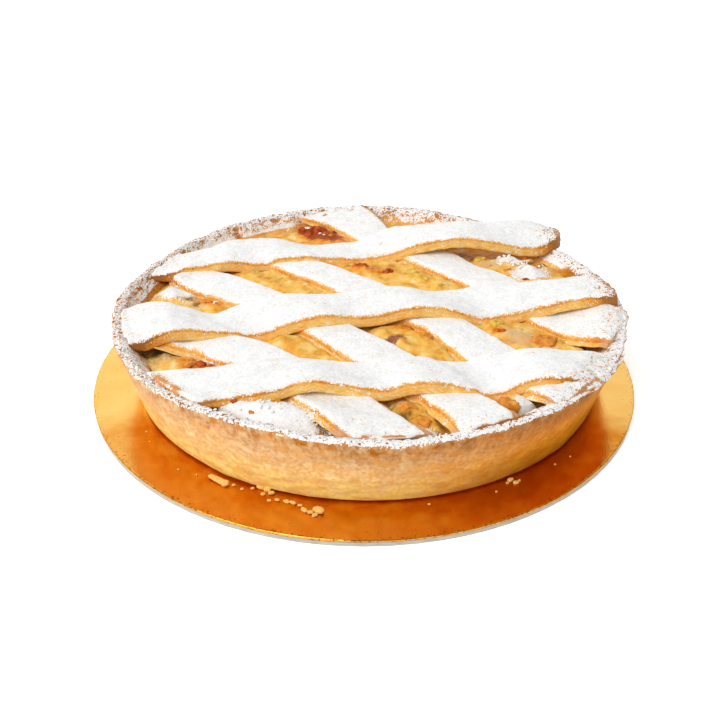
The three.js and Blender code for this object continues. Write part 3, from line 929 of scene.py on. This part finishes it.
def sifted_low(x, y):
    """How far a place on plan is deep in sugar on its low parts, from 0 to 1."""
    return np.max([
        np.exp(-(((x - at_x) / reach_x) ** 2 + ((y - at_y) / reach_y) ** 2))
        for at_x, at_y, reach_x, reach_y in SIFTED_LOW
    ], axis=0)


def spots(places, x, y):
    """Adds up soft spots at places on plan. Each has its x, y, reach and strength, or if it is
    long its x, y, reach along and across, turn and strength."""
    total = 0
    for at_x, at_y, reach, *shape, strength in places:
        reach_across, turn = shape or (reach, 0)
        turn = math.radians(turn)
        along = (x - at_x) * math.cos(turn) + (y - at_y) * math.sin(turn)
        across = (y - at_y) * math.cos(turn) - (x - at_x) * math.sin(turn)
        total = total + strength * np.exp(-((along / reach) ** 2 + (across / reach_across) ** 2))
    return total


def make_strip(name, strip, underside, seed):
    """Lays one strip, roughens it, and sugars its top."""
    rings, made = strip_rings(strip, underside, seed)
    over, crown, end_gap = made["over"], made["crown"], made["end_gap"]
    out = outward(rings)
    girth = np.cumsum(np.linalg.norm(np.diff(rings, axis=1, prepend=rings[:, :1]), axis=-1), axis=1)
    sugared = smoothstep(strip["bared"], 1.0, crown) * smoothstep(-0.05, 0.45, out[..., 2])
    at_last = made["along"] > made["along"].max() / 2
    specked = np.where(at_last, strip["specked"][1], strip["specked"][0])
    specked = specked * (1 - smoothstep(2, 22, end_gap))
    torn = (not strip["ends"][1]) * at_last * (1 - smoothstep(0, 6, end_gap))
    rough = grain(rings, (0.10, 1.4, seed + 5), (0.12, 3.5, seed + 6))
    rough += sugared * grain(rings, (0.10, 1.2, seed + 7), (0.16, 6, seed + 8))
    rough += torn * grain(rings, (0.6, 4.5, seed + 1), (0.5, 2, seed))
    rough += specked * grain(rings, (0.45, 2.6, seed + 3), (0.30, 1.3, seed + 2))
    rings = rings + out * (rough * over)[..., None]

    sides = 1 - sugared
    near_end = 1 - smoothstep(0, 12, end_gap)
    baked = strip["baked"] * (1 - smoothstep(0, 26, end_gap)) * sides
    lost = spots(RUBBED_OFF, rings[..., 0], rings[..., 1])
    low = sifted_low(rings[..., 0], rings[..., 1]) * sides
    arris = np.exp(-((crown - 0.35) / 0.34) ** 2) * over
    cover = 2.1 * sugared - 0.40 + grain(rings, (0.30, 5, seed + 9))
    cover -= 0.5 * near_end * sides + lost
    cover += 1.5 * strip["dusted"] * low * (1 - 0.8 * arris) * (out[..., 2] > -0.5)
    cover -= torn * (0.9 + grain(rings, (0.9, 3, seed + 2)))
    browned = (0.75 + grain(rings, (0.35, 9, seed + 8))) * arris + 0.05
    browned += 0.40 * near_end * sides + 1.3 * baked + 0.4 * lost + 1.5 * specked * sugared
    hazed = 0.75 * (1 - strip["baked"]) * smoothstep(0.5, 1, near_end) * sides
    piece = skin(
        name + "_dough", rings, knife_cut,
        sugared=cover, browned=browned, hazed=np.maximum(hazed, 0.4 * np.clip(lost, 0, 1)),
        pinholed=2.2 * specked + 0.05 * smoothstep(0.1, 0.7, grain(rings, (1, 18, seed + 4))),
        along=made["along"], girth=girth,
    )
    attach(piece, "root")
    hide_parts(name)
    return rings, made


covered = strip_bed
ceiling = np.full(covered.shape, 99.0)
for seed, (name, strip) in enumerate(DIAGONAL_STRIPS.items()):
    rings, made = make_strip(name, {**strip, **DIAGONAL_FINISH}, on_bed, 100 + 10 * seed)
    covered = marked(covered, rings[made["over"]], rings[made["over"], 2], np.maximum)
    ceiling = marked(ceiling, rings, made["bottom"], np.minimum)


# ---------------------------------------------------------------- strips across
# Three more ribbons, laid from side to side over the diagonal ones. They sag to the filling
# between them, and the ends of two of them were left standing free.

PRESSED_IN = 2.0
# Their paths have two more values: the heights of the front and back edges of their tops.
ACROSS_STRIPS = {
    "strip_across_front": dict(
        path=[
            (-90, -84.5, 36, 43, 43), (-71, -81.5, 29.5, 43, 43.5), (-55, -79, 28, 44.5, 45),
            (-41, -77, 27, 46, 46), (-23, -75, 26, 49.5, 45), (-8, -74.5, 26, 46.5, 43),
            (7, -73.5, 25.5, 43.5, 43.5), (22, -72.5, 26, 46.5, 44.5),
            (36, -71.5, 26.5, 45.5, 41.5), (55, -70, 27.5, 40, 41), (71, -68, 28, 45.5, 45),
            (84, -67, 29, 47, 45), (98, -66, 29.5, 44, 43), (114, -65, 30, 42.5, 42),
        ],
        ends=((124.5, 124.5, 0.9, 0.7), (129.6, 131.2, 0.35, 0.08)), baked=0.4, specked=(0.1, 0.7),
    ),
    "strip_across_middle": dict(
        path=[
            (-119, -27, 36, 42.5, 46), (-106, -25, 34, 43.5, 46.5), (-96, -24, 32.5, 47, 46),
            (-88, -23, 31, 47.5, 43), (-75, -22, 28.5, 45.5, 39), (-62, -20, 28, 41.5, 44),
            (-50, -18.5, 28, 42, 48), (-37, -17, 28, 46.5, 49), (-21, -14.5, 28, 50, 47),
            (-6, -12.5, 27.5, 47.5, 47.5), (8, -10.5, 27.5, 48, 49.5), (22, -8.5, 27.5, 50.5, 48.5),
            (38, -6, 27.5, 49, 44.5), (57, -3.5, 27.5, 42.5, 46), (70, -2, 27.5, 43.5, 47),
            (86, 0.5, 27.5, 46.5, 47), (100, 3, 29.5, 49.5, 46.5), (112, 5, 31, 50.5, 46.5),
            (126, 8, 32, 49, 48),
        ],
        ends=((124.0, 125.5, 0.7, 0.6), None), baked=1, specked=(0.35, 0.85),
    ),
    "strip_across_back": dict(
        path=[
            (-110, 50.5, 26, 41, 42), (-98, 53.5, 26, 40.5, 42), (-86, 56, 26, 43.5, 42),
            (-76, 58, 26, 44, 45.5), (-62, 60, 26, 42, 46), (-47, 61.5, 26.5, 43, 45),
            (-31, 63.5, 27, 44.5, 40), (-15, 65, 27, 43.5, 40.5), (-2, 66.5, 27, 42.5, 41.5),
            (15, 68.5, 27.5, 45, 48.5), (28, 70, 27.5, 50, 49.5), (46, 72, 27.5, 52.5, 50),
            (58, 73, 27.5, 52, 51), (72, 75, 27, 49, 50), (86, 77, 26, 45, 50.5),
            (98, 78.5, 25.5, 44, 50), (107, 79.5, 21, 46, 47), (114, 79, 15, 46.5, 45.5),
        ],
        ends=((124.0, 125.0, 0.5, 0.5), None), baked=1, specked=(0.4, 1.1),
    ),
}
ACROSS_FINISH = dict(arris=2.6, slump=0.8, dusted=0.2, bared=0.25)
on_diagonals = blurred(covered, 1) - PRESSED_IN
for seed, (name, strip) in enumerate(ACROSS_STRIPS.items()):
    rings, made = make_strip(name, {**strip, **ACROSS_FINISH}, on_diagonals, 200 + 10 * seed)
    ceiling = marked(ceiling, rings, made["bottom"], np.minimum)


# ---------------------------------------------------------------- filling
# Ricotta, cooked wheat, eggs and candied fruit, poured into the crust and baked. It swells
# up the sides of the strips, and its skin is golden, bubbled and lumpy where it is bare.

FILLING_SIDES = 640
FILLING_RINGS = 150
# How far the filling swells up round the strips, and over what reach in map cells.
FILLING_SWELL = 3.6
SWELL_REACH = 7
# Lumps on plan: x, y, reach, height.
FILLING_LUMPS = [
    (17, -43, 4.5, 1.6), (26, -34, 6, 1), (7, -30, 3, 0.8), (60, -22, 4, 1.4), (67, -22, 3.5, 1.6),
    (70, -30, 4, 1.2), (78, -33, 6, 1.3), (-2, 42, 4.5, 1.6), (6, 40, 4, 1.1), (14, 36, 3.5, 1.6),
    (25, 37, 5, 1), (32, 28, 4, 1.3), (41, 20, 4, 1), (-96, 5, 5, 2.4), (-90, 2, 4, 1.6),
    (-97, -4, 5, 1.8), (-76, 0, 3.5, 1.6), (-96, -49, 5, 2), (-88, -53, 4, 2.2), (-78, -57, 4, 1.4),
    (65, 58, 4, 1.2), (73, 47, 4, 1.6), (79, 40, 4, 1.2), (72, 56, 3, 1.6), (90, 47, 5, 1.8),
    (98, 50, 4, 1.5), (106, 52, 5, 1.2), (-44, -98, 6, 1.6), (-56, -93, 4, 1.6),
    (-33, -101, 6, 1.8), (-60, -86, 4, 1), (-24, -97, 5, 1.5), (19, -95, 4, 1.4),
    (26, -102, 4.5, 1.2), (32, -108, 4, 0.8), (62, -92, 7, 3), (68.5, -95, 2.6, 3),
    (82, 57, 6, 3.5), (91, 44, 7, 2.6), (-102, 16, 9, 3.4), (70, -89, 6, 5.5), (58, 68, 9, 2),
    (64, 74, 8, 2.5), (52, 76, 8, 2), (-68, -92, 8, 3.5), (-54, -94, 9, 2.5), (78, -90, 5, 1.5),
    (-42, -98, 22, 3.6), (-66, -86, 12, 3), (-16, -96, 9, 1.5), (-30, 102, 5, 1.8),
    (-36, 106, 3.5, 1.2), (-22, 93, 5, 1.4), (-13, 86, 4, 0.8), (60, -92, 5, 1),
]
# Hollows left open where a strip stands clear: x, y, reach along, reach across, turn, depth.
FILLING_HOLLOWS = [
    (-17, -114, 9, 3, -48, 3), (-92, -41, 8, 2.2, -12, 2.6), (101, -31, 8, 3, -25, 2.6),
    (-60, 45, 6, 2.2, -15, 2), (105, 44, 5, 4, 40, 2),
]
# Stains on plan: x, y, reach, strength. Browned by the heat, pale curd, juice of fruit, and
# dark: painted shade where the filling lies deep in hollows and under the strips, with a few
# dark spots.
BROWNED_PLACES = [
    (-2, 43, 5, 1.3), (13, 37, 4, 1.2), (6, 39, 5, 0.7), (30, 38, 5, 0.5), (19, -26, 4, 1),
    (28, -33, 5, 0.6), (-34, -44, 4, 0.6), (-50, 39, 4, 0.5), (-30, 22, 8, 0.4), (-76, 2, 5.5, 1),
    (-82, 6, 4, 0.9), (88, -34, 4, 0.9), (66, -27, 2.5, 1), (-31, 101, 9, 1.5), (-20, 92, 8, 1),
    (-13, 87, 6, 0.8), (-38, 104, 4, 1), (-27, 92, 11, 0.9), (84, -36, 7, 0.5), (62, -26, 5, 0.4),
    (-82, -55, 8, 0.5), (18, -94, 4, 0.9), (25, -103, 4, 0.9), (-85, -52, 4, 0.6),
    (-76, -58, 5, 1.1), (79, 42, 3.5, 0.7), (-55, -92, 2.2, 1.6), (-38, -93, 2, 1.2),
    (108, 52, 6, 0.6),
]
PALE_PLACES = [
    (-93, -47, 6, 0.9), (78, -34, 8, 0.8), (72, -28, 5, 0.6), (70, 52, 9, 0.8), (60, 62, 8, 0.7),
    (95, 50, 8, 0.7), (-86, 3, 6, 0.7), (30, 31, 5, 0.5), (-46, 43, 6, 0.5), (10, -24, 7, 0.5),
    (-90, -42, 8, 0.6), (-45, -95, 14, 0.8), (-28, -105, 9, 0.9), (15, -88, 7, 0.6),
    (60, -88, 6, 0.6), (-16, 84, 6, 0.6), (-58, 44, 5, 0.7),
]
FRUITY_PLACES = [
    (16.5, -37, 4.5, 1.2), (12, -40, 3.5, 0.9), (2, -26, 3.5, 0.8), (32, -109, 3.5, 1),
    (38, -112, 3, 0.8), (42, 18, 3, 0.6), (70, 50, 4, 0.5), (103, 50, 4, 0.5), (-52, 12, 3, 0.3),
    (52, 64, 4, 0.5), (-58, 40, 3, 0.5),
]
SHADED_AND_DARK_PLACES = [
    (9, -88, 6, 1), (14, -100, 6, 0.9), (23, -97, 9, 0.45), (-95, -43, 9, 0.5), (60, 71, 10, 0.3),
    (-30, 90, 5, 0.5), (84, -42, 5, 0.5), (-46, -104, 6, 0.6), (-12, -104, 6, 0.7),
    (38, -111, 4, 0.7), (-17, -110, 8, 0.7), (56, 72, 10, 0.45), (73, 63, 3, 1), (93, 56, 4, 1.4),
    (98, 59, 4, 1), (66, 62, 5, 0.7), (-101, -39, 9, 0.9), (-86, -43, 5, 0.7), (-91, 9, 3.5, 1.1),
    (-86, 3, 2.5, 0.9), (99, -29, 8, 0.9), (107, -33, 6, 0.9), (-58, 45, 5, 0.9),
    (-37, 107, 4, 0.7), (75, 62, 4, 0.9), (96, 36, 3, 0.7), (56, -87, 4, 0.6), (-64, -90, 5, 0.6),
    (1, -22, 6, 0.5), (40, 18, 4, 0.5), (-8, 46, 4, 0.6),
]

# Baked ricotta custard: moist and smooth, mottled from yellow to gold, with pale curds, browned
# blisters and stains of fruit, and a soft gloss from its butterfat.
custard, tree, shader = new_material("baked_ricotta_custard")
place = add_node(tree, "TexCoord").outputs["Object"]
curds, specks = [
    add_node(tree, "TexNoise", {"Vector": place, "Scale": 1 / (size * MM), "Detail": detail})
    for size, detail in ((6, 3.5), (1.9, 3))
]
finish = add_node(tree, "ValToRGB", (curds,), stops=[
    (0.28, "#C0862A"), (0.42, "#E8AA42"), (0.55, "#F3C158"), (0.72, "#F1DA9C"),
])
speck_level = add_node(tree, "Math", (specks, 1.6, -0.8), operation="MULTIPLY_ADD")
# The dark stain is painted shade in the hollows and under the strips, with a few dark spots.
for stain, colour, low, high in (
    ("pale", "#D9B68A", 0.15, 1.1), ("fruity", "#86503F", 0.30, 0.9),
    ("browned", "#F0951C", 0.40, 1.0), ("browned", "#9C3E04", 1.0, 1.6),
    ("dark", "#7C5C22", 0.35, 1.1),
):
    amount = add_node(tree, "Attribute", attribute_name=stain).outputs["Fac"]
    stain_level = add_node(tree, "Math", (amount, speck_level), operation="ADD")
    spot = add_node(tree, "MapRange", (stain_level, low, high))
    finish = add_node(tree, "MixRGB", (spot, finish, colour))
lay_sugar(tree, shader, finish, specks)
set_inputs(shader, {"Coat Weight": 0.05, "Coat Roughness": 0.30})

spread = (ceiling > 90).astype(float)
for axis in (0, 1):
    reach = range(-SWELL_REACH, SWELL_REACH + 1)
    spread = sum(np.roll(spread, away, axis=axis) for away in reach) / len(reach)
near_wall = smoothstep(WALL_INSIDE_RADIUS - 9, WALL_INSIDE_RADIUS, map_radius)
swell = FILLING_SWELL * smoothstep(0.08, 0.60, spread) * (1 - 0.7 * near_wall)
filling_map = dome(map_radius) + swell


def filling_surface(x, y):
    """The height of the filling's lumpy surface at places on plan, and how bare it is there."""
    bare = smoothstep(0.05, 0.45, read_map(spread, x, y))
    lumps = spots(FILLING_LUMPS, x, y) - spots(FILLING_HOLLOWS, x, y)
    return read_map(filling_map, x, y) + bare * lumps, bare


edge_radius = WALL_INSIDE_RADIUS + 0.2
filling_profile = [
    (60, floor_z + GAP),
    (WALL_INSIDE_FOOT_RADIUS - 2 * GAP, floor_z + GAP),
    (edge_radius - 0.8, FILLING_EDGE_Z - 2.5),
    *[(edge_radius * share, 0) for share in np.linspace(1, 0.01, FILLING_RINGS)],
]
rings, _ = circles(filling_profile, FILLING_SIDES)
rings[..., :2] += PIE_CENTRE
x, y = rings[..., 0], rings[..., 1]
surface, bare = filling_surface(x, y)
flat_points = np.stack([x, y, 0 * x], axis=-1)
bubbled = grain(flat_points, (0.9, 8, 301), (0.45, 3.5, 302), (0.18, 1.7, 303))
surface += (0.35 + 0.65 * bare) * bubbled
rings[3:, :, 2] = surface[3:]
browned = 0.15 + grain(rings, (0.45, 9, 304), (0.35, 3, 305)) + spots(BROWNED_PLACES, x, y)
filling = skin(
    "ricotta_filling", rings, custard, browned=browned,
    sugared=2.9 * sifted_low(x, y) - 1.0 + grain(rings, (0.25, 6, 307)),
    pale=spots(PALE_PLACES, x, y) + grain(rings, (0.25, 11, 306)),
    fruity=spots(FRUITY_PLACES, x, y) - 0.1,
    dark=spots(SHADED_AND_DARK_PLACES, x, y) + grain(rings, (0.35, 4.5, 308)) - 0.05,
    pinholed=np.full(x.shape, 0.25),
)
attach(filling, "root")
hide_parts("filling")


# ---------------------------------------------------------------- candied fruit
# Diced candied orange peel and citron, and halved candied cherries. They were stirred into
# the filling, and those at its surface stand out of it.

MORSEL_RINGS = 13
MORSEL_SIDES = 20
# Each piece: x, y, how far its top stands out of the filling, length, width, height, turn.
ORANGE_PEEL = [
    (62.5, -93, 5.5, 8.5, 7, 6, 8), (87, -35, 4, 12, 7, 5.5, -15), (19, -94, 0.6, 8, 5, 4, 35),
    (25, -102, 0.6, 8, 5, 4, -40), (-54, -92, 1.4, 3.2, 2.6, 2.4, 20), (-38, -93, 1.2, 5, 2, 2, 5),
    (79, 41, 1.5, 5, 4, 3.5, 30), (-21, 93, 1, 7, 5, 4, -35), (20, -25, 0.9, 8, 5, 4, -30),
    (-81, -55, 2, 7, 5, 5.5, 60), (-87, 3, 1.2, 4, 3, 3, 15), (110, 53, 1.4, 7, 5, 4.5, -30),
    (6, 39, 1, 10, 5, 3.5, -18), (-48, -99, 1.2, 2.4, 2, 1.8, 0), (39, 22, 0.6, 6, 4, 3, -40),
    (-70, -60, 1.2, 6, 4, 4, 0), (96, 50, 1.2, 6, 4, 4, 40), (30, -34, 0.5, 7, 5, 4, -30),
]
CITRON = [
    (58, -21.5, 1.4, 7, 5, 4.5, -10), (66, -21.5, 1.6, 6, 5, 4.5, 25),
    (31.5, 29, 1, 10, 4.5, 3.5, -38), (25, 35.5, 0.6, 8, 5, 3.5, -30), (57, 63, 1.2, 7, 5, 4, 0),
    (65, 57, 1.2, 6, 5, 4, 40), (-45, 30, 0.4, 6, 4, 3, -30), (36, -44, 0.4, 6, 4, 3, 10),
    (-60, 42, 0.9, 5, 3.5, 3.5, 0), (96, -31, 0.5, 6, 5, 4, -20), (75, -25, 1, 6, 4, 4, 10),
]
CHERRY = [
    (-1.5, 42, 1.6, 9, 4.5, 4, -5), (13.5, 36, 1.2, 5, 4, 4, 20), (-27, 100, 6, 11, 8, 7, -20),
    (-33, 96, 2, 7, 5, 5, 15), (-37, 105, 2, 6, 5, 5.5, 30), (-20, 97.5, 3, 7, 5, 5.5, 10),
    (-79.5, 4, 1, 5.5, 4, 4, 30), (-76, -56.5, 1.6, 5.5, 4.5, 4.5, -15),
    (-71, -58, 1.2, 4.5, 3.5, 3.5, 30), (68, -27.5, 1.2, 4, 3, 3, 40),
    (88, -33.5, 3.2, 4, 2.6, 2, -15), (-56, -93.5, 1.6, 2.6, 2.2, 2.2, 0),
    (74.5, 65, 2.2, 4, 3, 3, 20), (92, 63.5, 2.6, 3.6, 2.6, 3, 0),
    (101.5, 57, 2.4, 3.8, 2.6, 3, 40), (88, 33, 1.8, 4, 2.6, 3, 10),
]


def morsels(name, places, material, seed, squareness):
    """Makes small solid pieces, joins them into one, and sets it on the tart or the card. Each
    place is a piece's middle in mm, its length, width and height, and its turn in degrees."""
    polar = np.linspace(0, np.pi, MORSEL_RINGS + 2)[1:-1, None]
    around = np.linspace(0, 2 * np.pi, MORSEL_SIDES, endpoint=False)

    def squared(value):
        """Makes the round form boxier, the more so the smaller the squareness is."""
        return np.sign(value) * np.abs(value) ** squareness

    unit = np.stack([
        squared(np.sin(polar)) * squared(np.cos(around)),
        squared(np.sin(polar)) * squared(np.sin(around)),
        squared(np.cos(polar)) + 0 * around,
    ], axis=-1)
    made = []
    for index, (x, y, z, length, width, height, turn) in enumerate(places):
        size = np.array([length, width, height]) / 2
        lump = unit * size * (1 + grain(unit * 1.3 + 7 * index, (0.20, 1, seed)))[..., None]
        lump += size.min() * grain(unit * 4 + 7 * index, (0.28, 1, seed + 1))[..., None] * unit
        tilt = 0.25 * math.sin(2.4 * index)
        turn = math.radians(turn)
        across = lump[..., 1] * math.cos(tilt) - lump[..., 2] * math.sin(tilt)
        up = lump[..., 1] * math.sin(tilt) + lump[..., 2] * math.cos(tilt)
        made.append(np.stack([
            x + lump[..., 0] * math.cos(turn) - across * math.sin(turn),
            y + lump[..., 0] * math.sin(turn) + across * math.cos(turn),
            z + up,
        ], axis=-1))
    piece = skin(name, np.stack(made), material)
    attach(piece, "root")


def candied(name, flesh, deep, coat):
    """A candied fruit material: sugar-soaked and half clear, so it is deep in colour and wet."""
    material, tree, shader = new_material(name)
    place = add_node(tree, "TexCoord").outputs["Object"]
    pulp = add_node(tree, "TexNoise", {"Vector": place, "Scale": 1 / (3 * MM), "Detail": 3})
    depth = add_node(tree, "MapRange", (pulp, 0.35, 0.65))
    set_inputs(shader, {
        "Base Color": add_node(tree, "MixRGB", (depth, deep, flesh)),
        "Normal": add_node(tree, "Bump", {"Height": pulp, "Distance": 0.4 * MM, "Strength": 0.4}),
        "Roughness": 0.38, "IOR": 1.48, "Specular IOR Level": 0.2,
        "Coat Weight": coat, "Coat Roughness": 0.12,
    })
    return material


# Orange peel soaked in syrup: amber to burnt orange, with a sticky gloss.
candied_orange = candied("syrup_soaked_orange_peel", "#EDA03A", "#C4701C", 0.1)
# Citron rind soaked in syrup: dull yellow and half clear, with a sticky gloss.
candied_citron = candied("syrup_soaked_citron", "#EFC95C", "#C99C38", 0.1)
# Cherries soaked in syrup and scorched by the oven: dark red with a wet gloss.
candied_cherry = candied("syrup_soaked_cherry", "#DC6008", "#802200", 0.03)

for name, places, material, seed, squareness in (
    ("candied_orange_peel", ORANGE_PEEL, candied_orange, 401, 0.45),
    ("candied_citron", CITRON, candied_citron, 402, 0.45),
    ("candied_cherry", CHERRY, candied_cherry, 403, 0.8),
):
    in_filling = [
        (x, y, filling_surface(x, y)[0] + 0.5 * above - height / 2, length, width, height, turn)
        for x, y, above, length, width, height, turn in places
    ]
    morsels(name, in_filling, material, seed, squareness)


# ---------------------------------------------------------------- sugar clumps
# Icing sugar that fell from the sieve in soft lumps. They lie on the rim, on low parts of
# the filling and on the candied fruit.

CLUMPS_ON_RIM = 150
CLUMPED_RADII = (124.8, 129.2)
SMALLEST_CLUMP = 0.6
BIGGEST_ON_RIM = 1.7
BIGGEST_ON_FILLING = 2.2
# Larger clumps on the filling: x, y, reach, count.
CLUMP_PLACES = [
    (84, 52, 4, 10), (88, 47, 4, 8), (69, -94, 2.5, 8), (-74, -55, 3, 5), (-34, 104, 4, 8),
    (-77, 3, 3, 5), (-97, 1, 5, 9), (-42, -99, 16, 26), (-20, -103, 8, 8), (89, -33, 3, 2),
    (76, 58, 5, 6), (-26, 95, 5, 5), (101, 56, 6, 8),
]
random = np.random.default_rng(11)


def clump(x, y, z, biggest):
    """A place for one clump of random size and turn."""
    length, width = random.uniform(SMALLEST_CLUMP, biggest, 2)
    return (x, y, z + 0.15 * width, length, width, 0.65 * width, random.uniform(0, 180))


clumps = []
for bearing in random.uniform(0, 2 * np.pi, CLUMPS_ON_RIM):
    from_middle = random.uniform(*CLUMPED_RADII)
    height = RIM_Z + rim_wave(bearing) - 0.1
    x = PIE_CENTRE[0] + from_middle * math.cos(bearing)
    y = PIE_CENTRE[1] + from_middle * math.sin(bearing)
    clumps.append(clump(x, y, height, BIGGEST_ON_RIM))
for at_x, at_y, reach, count in CLUMP_PLACES:
    for x, y in random.normal((at_x, at_y), reach / 2, (count, 2)):
        if math.hypot(x, y) <= WALL_INSIDE_RADIUS - 3:
            height = filling_surface(x, y)[0] + 0.2
            clumps.append(clump(x, y, height, BIGGEST_ON_FILLING))

# Clumped icing sugar: matt white and powdery, with a grain drawn coarse enough to show.
clumped_sugar, tree, shader = new_material("sifted_icing_sugar")
place = add_node(tree, "TexCoord").outputs["Object"]
powder = add_node(tree, "TexNoise", {"Vector": place, "Scale": 1 / (0.8 * MM), "Detail": 2})
set_inputs(shader, {
    "Base Color": add_node(tree, "MixRGB", (powder, "#EFEDEA", "#FFFFFF")),
    "Normal": add_node(tree, "Bump", {"Height": powder, "Distance": 0.15 * MM, "Strength": 0.5}),
    "Roughness": 0.95,
})
morsels("sugar_clumps", clumps, clumped_sugar, 404, 0.9)


# ---------------------------------------------------------------- crumbs
# Crumbs and flakes of pastry that broke off the crust when the tart was set down, lying on
# the gold card near its foot.

# Each crumb: x, y, length, width, height, turn.
CRUMBS = [
    (-65.2, -100, 9.5, 3, 1.9, -38), (-61.6, -102.6, 4, 3.2, 1.9, -20),
    (-57.5, -103.6, 1.8, 1.2, 1, 0), (-53.5, -106.5, 1.6, 1.1, 0.9, 0),
    (-49, -106, 1.7, 1.3, 1, 30), (-45.4, -105.4, 3.4, 2.2, 1.8, -10),
    (-42.4, -107, 3.6, 2.4, 1.8, -30), (-40.4, -109.4, 2.6, 2, 1.4, 20), (-44, -110, 2, 1.4, 1, 0),
    (-41, -114.5, 1.8, 1.2, 0.9, 0), (-37.5, -114, 2.2, 1.4, 1, -15),
    (-33.5, -115.2, 2.8, 1.6, 1.1, -10), (-30.5, -116, 3.2, 1.8, 1.2, -25),
    (-27.5, -117.8, 2.2, 1.4, 1, 0), (-25.5, -121, 3.2, 2, 1.4, -30),
    (-22.7, -122.6, 2.6, 2, 1.4, 0), (-19.4, -121.6, 5, 3.4, 2.2, -20),
    (-20.8, -124.2, 2.6, 1.8, 1.3, 30), (65, -100, 3.2, 2.2, 1.4, 30),
    (67.2, -102, 2.6, 1.8, 1.2, 10), (63.5, -102, 1.4, 1, 0.8, 0), (69, -100.4, 1.5, 1.1, 0.9, 50),
    (28, -117, 1.2, 0.8, 0.7, 15), (87, -88, 1.1, 0.8, 0.6, 0), (95, -82, 0.9, 0.7, 0.6, 30),
    (-84, -92, 1, 0.8, 0.6, 0), (-75, -96, 0.9, 0.7, 0.6, 0), (-104, -62, 1, 0.8, 0.7, 0),
    (-101, -70, 0.8, 0.7, 0.5, 0), (58, -108, 1, 0.8, 0.6, 0),
]

# Broken shortcrust: pale gold and sandy.
broken_shortcrust, tree, shader = new_material("broken_shortcrust")
place = add_node(tree, "TexCoord").outputs["Object"]
sand = add_node(tree, "TexNoise", {"Vector": place, "Scale": 1 / (0.9 * MM), "Detail": 3})
set_inputs(shader, {
    "Base Color": add_node(tree, "MixRGB", (sand, "#E6A23C", "#FFE08C")),
    "Normal": add_node(tree, "Bump", {"Height": sand, "Distance": 0.2 * MM, "Strength": 0.6}),
    "Roughness": 0.8,
})
on_card = [
    (x, y, BOARD_TOP + 0.42 * height, length, width, height, turn)
    for x, y, length, width, height, turn in CRUMBS
]
morsels("pastry_crumbs", on_card, broken_shortcrust, 405, 0.7)
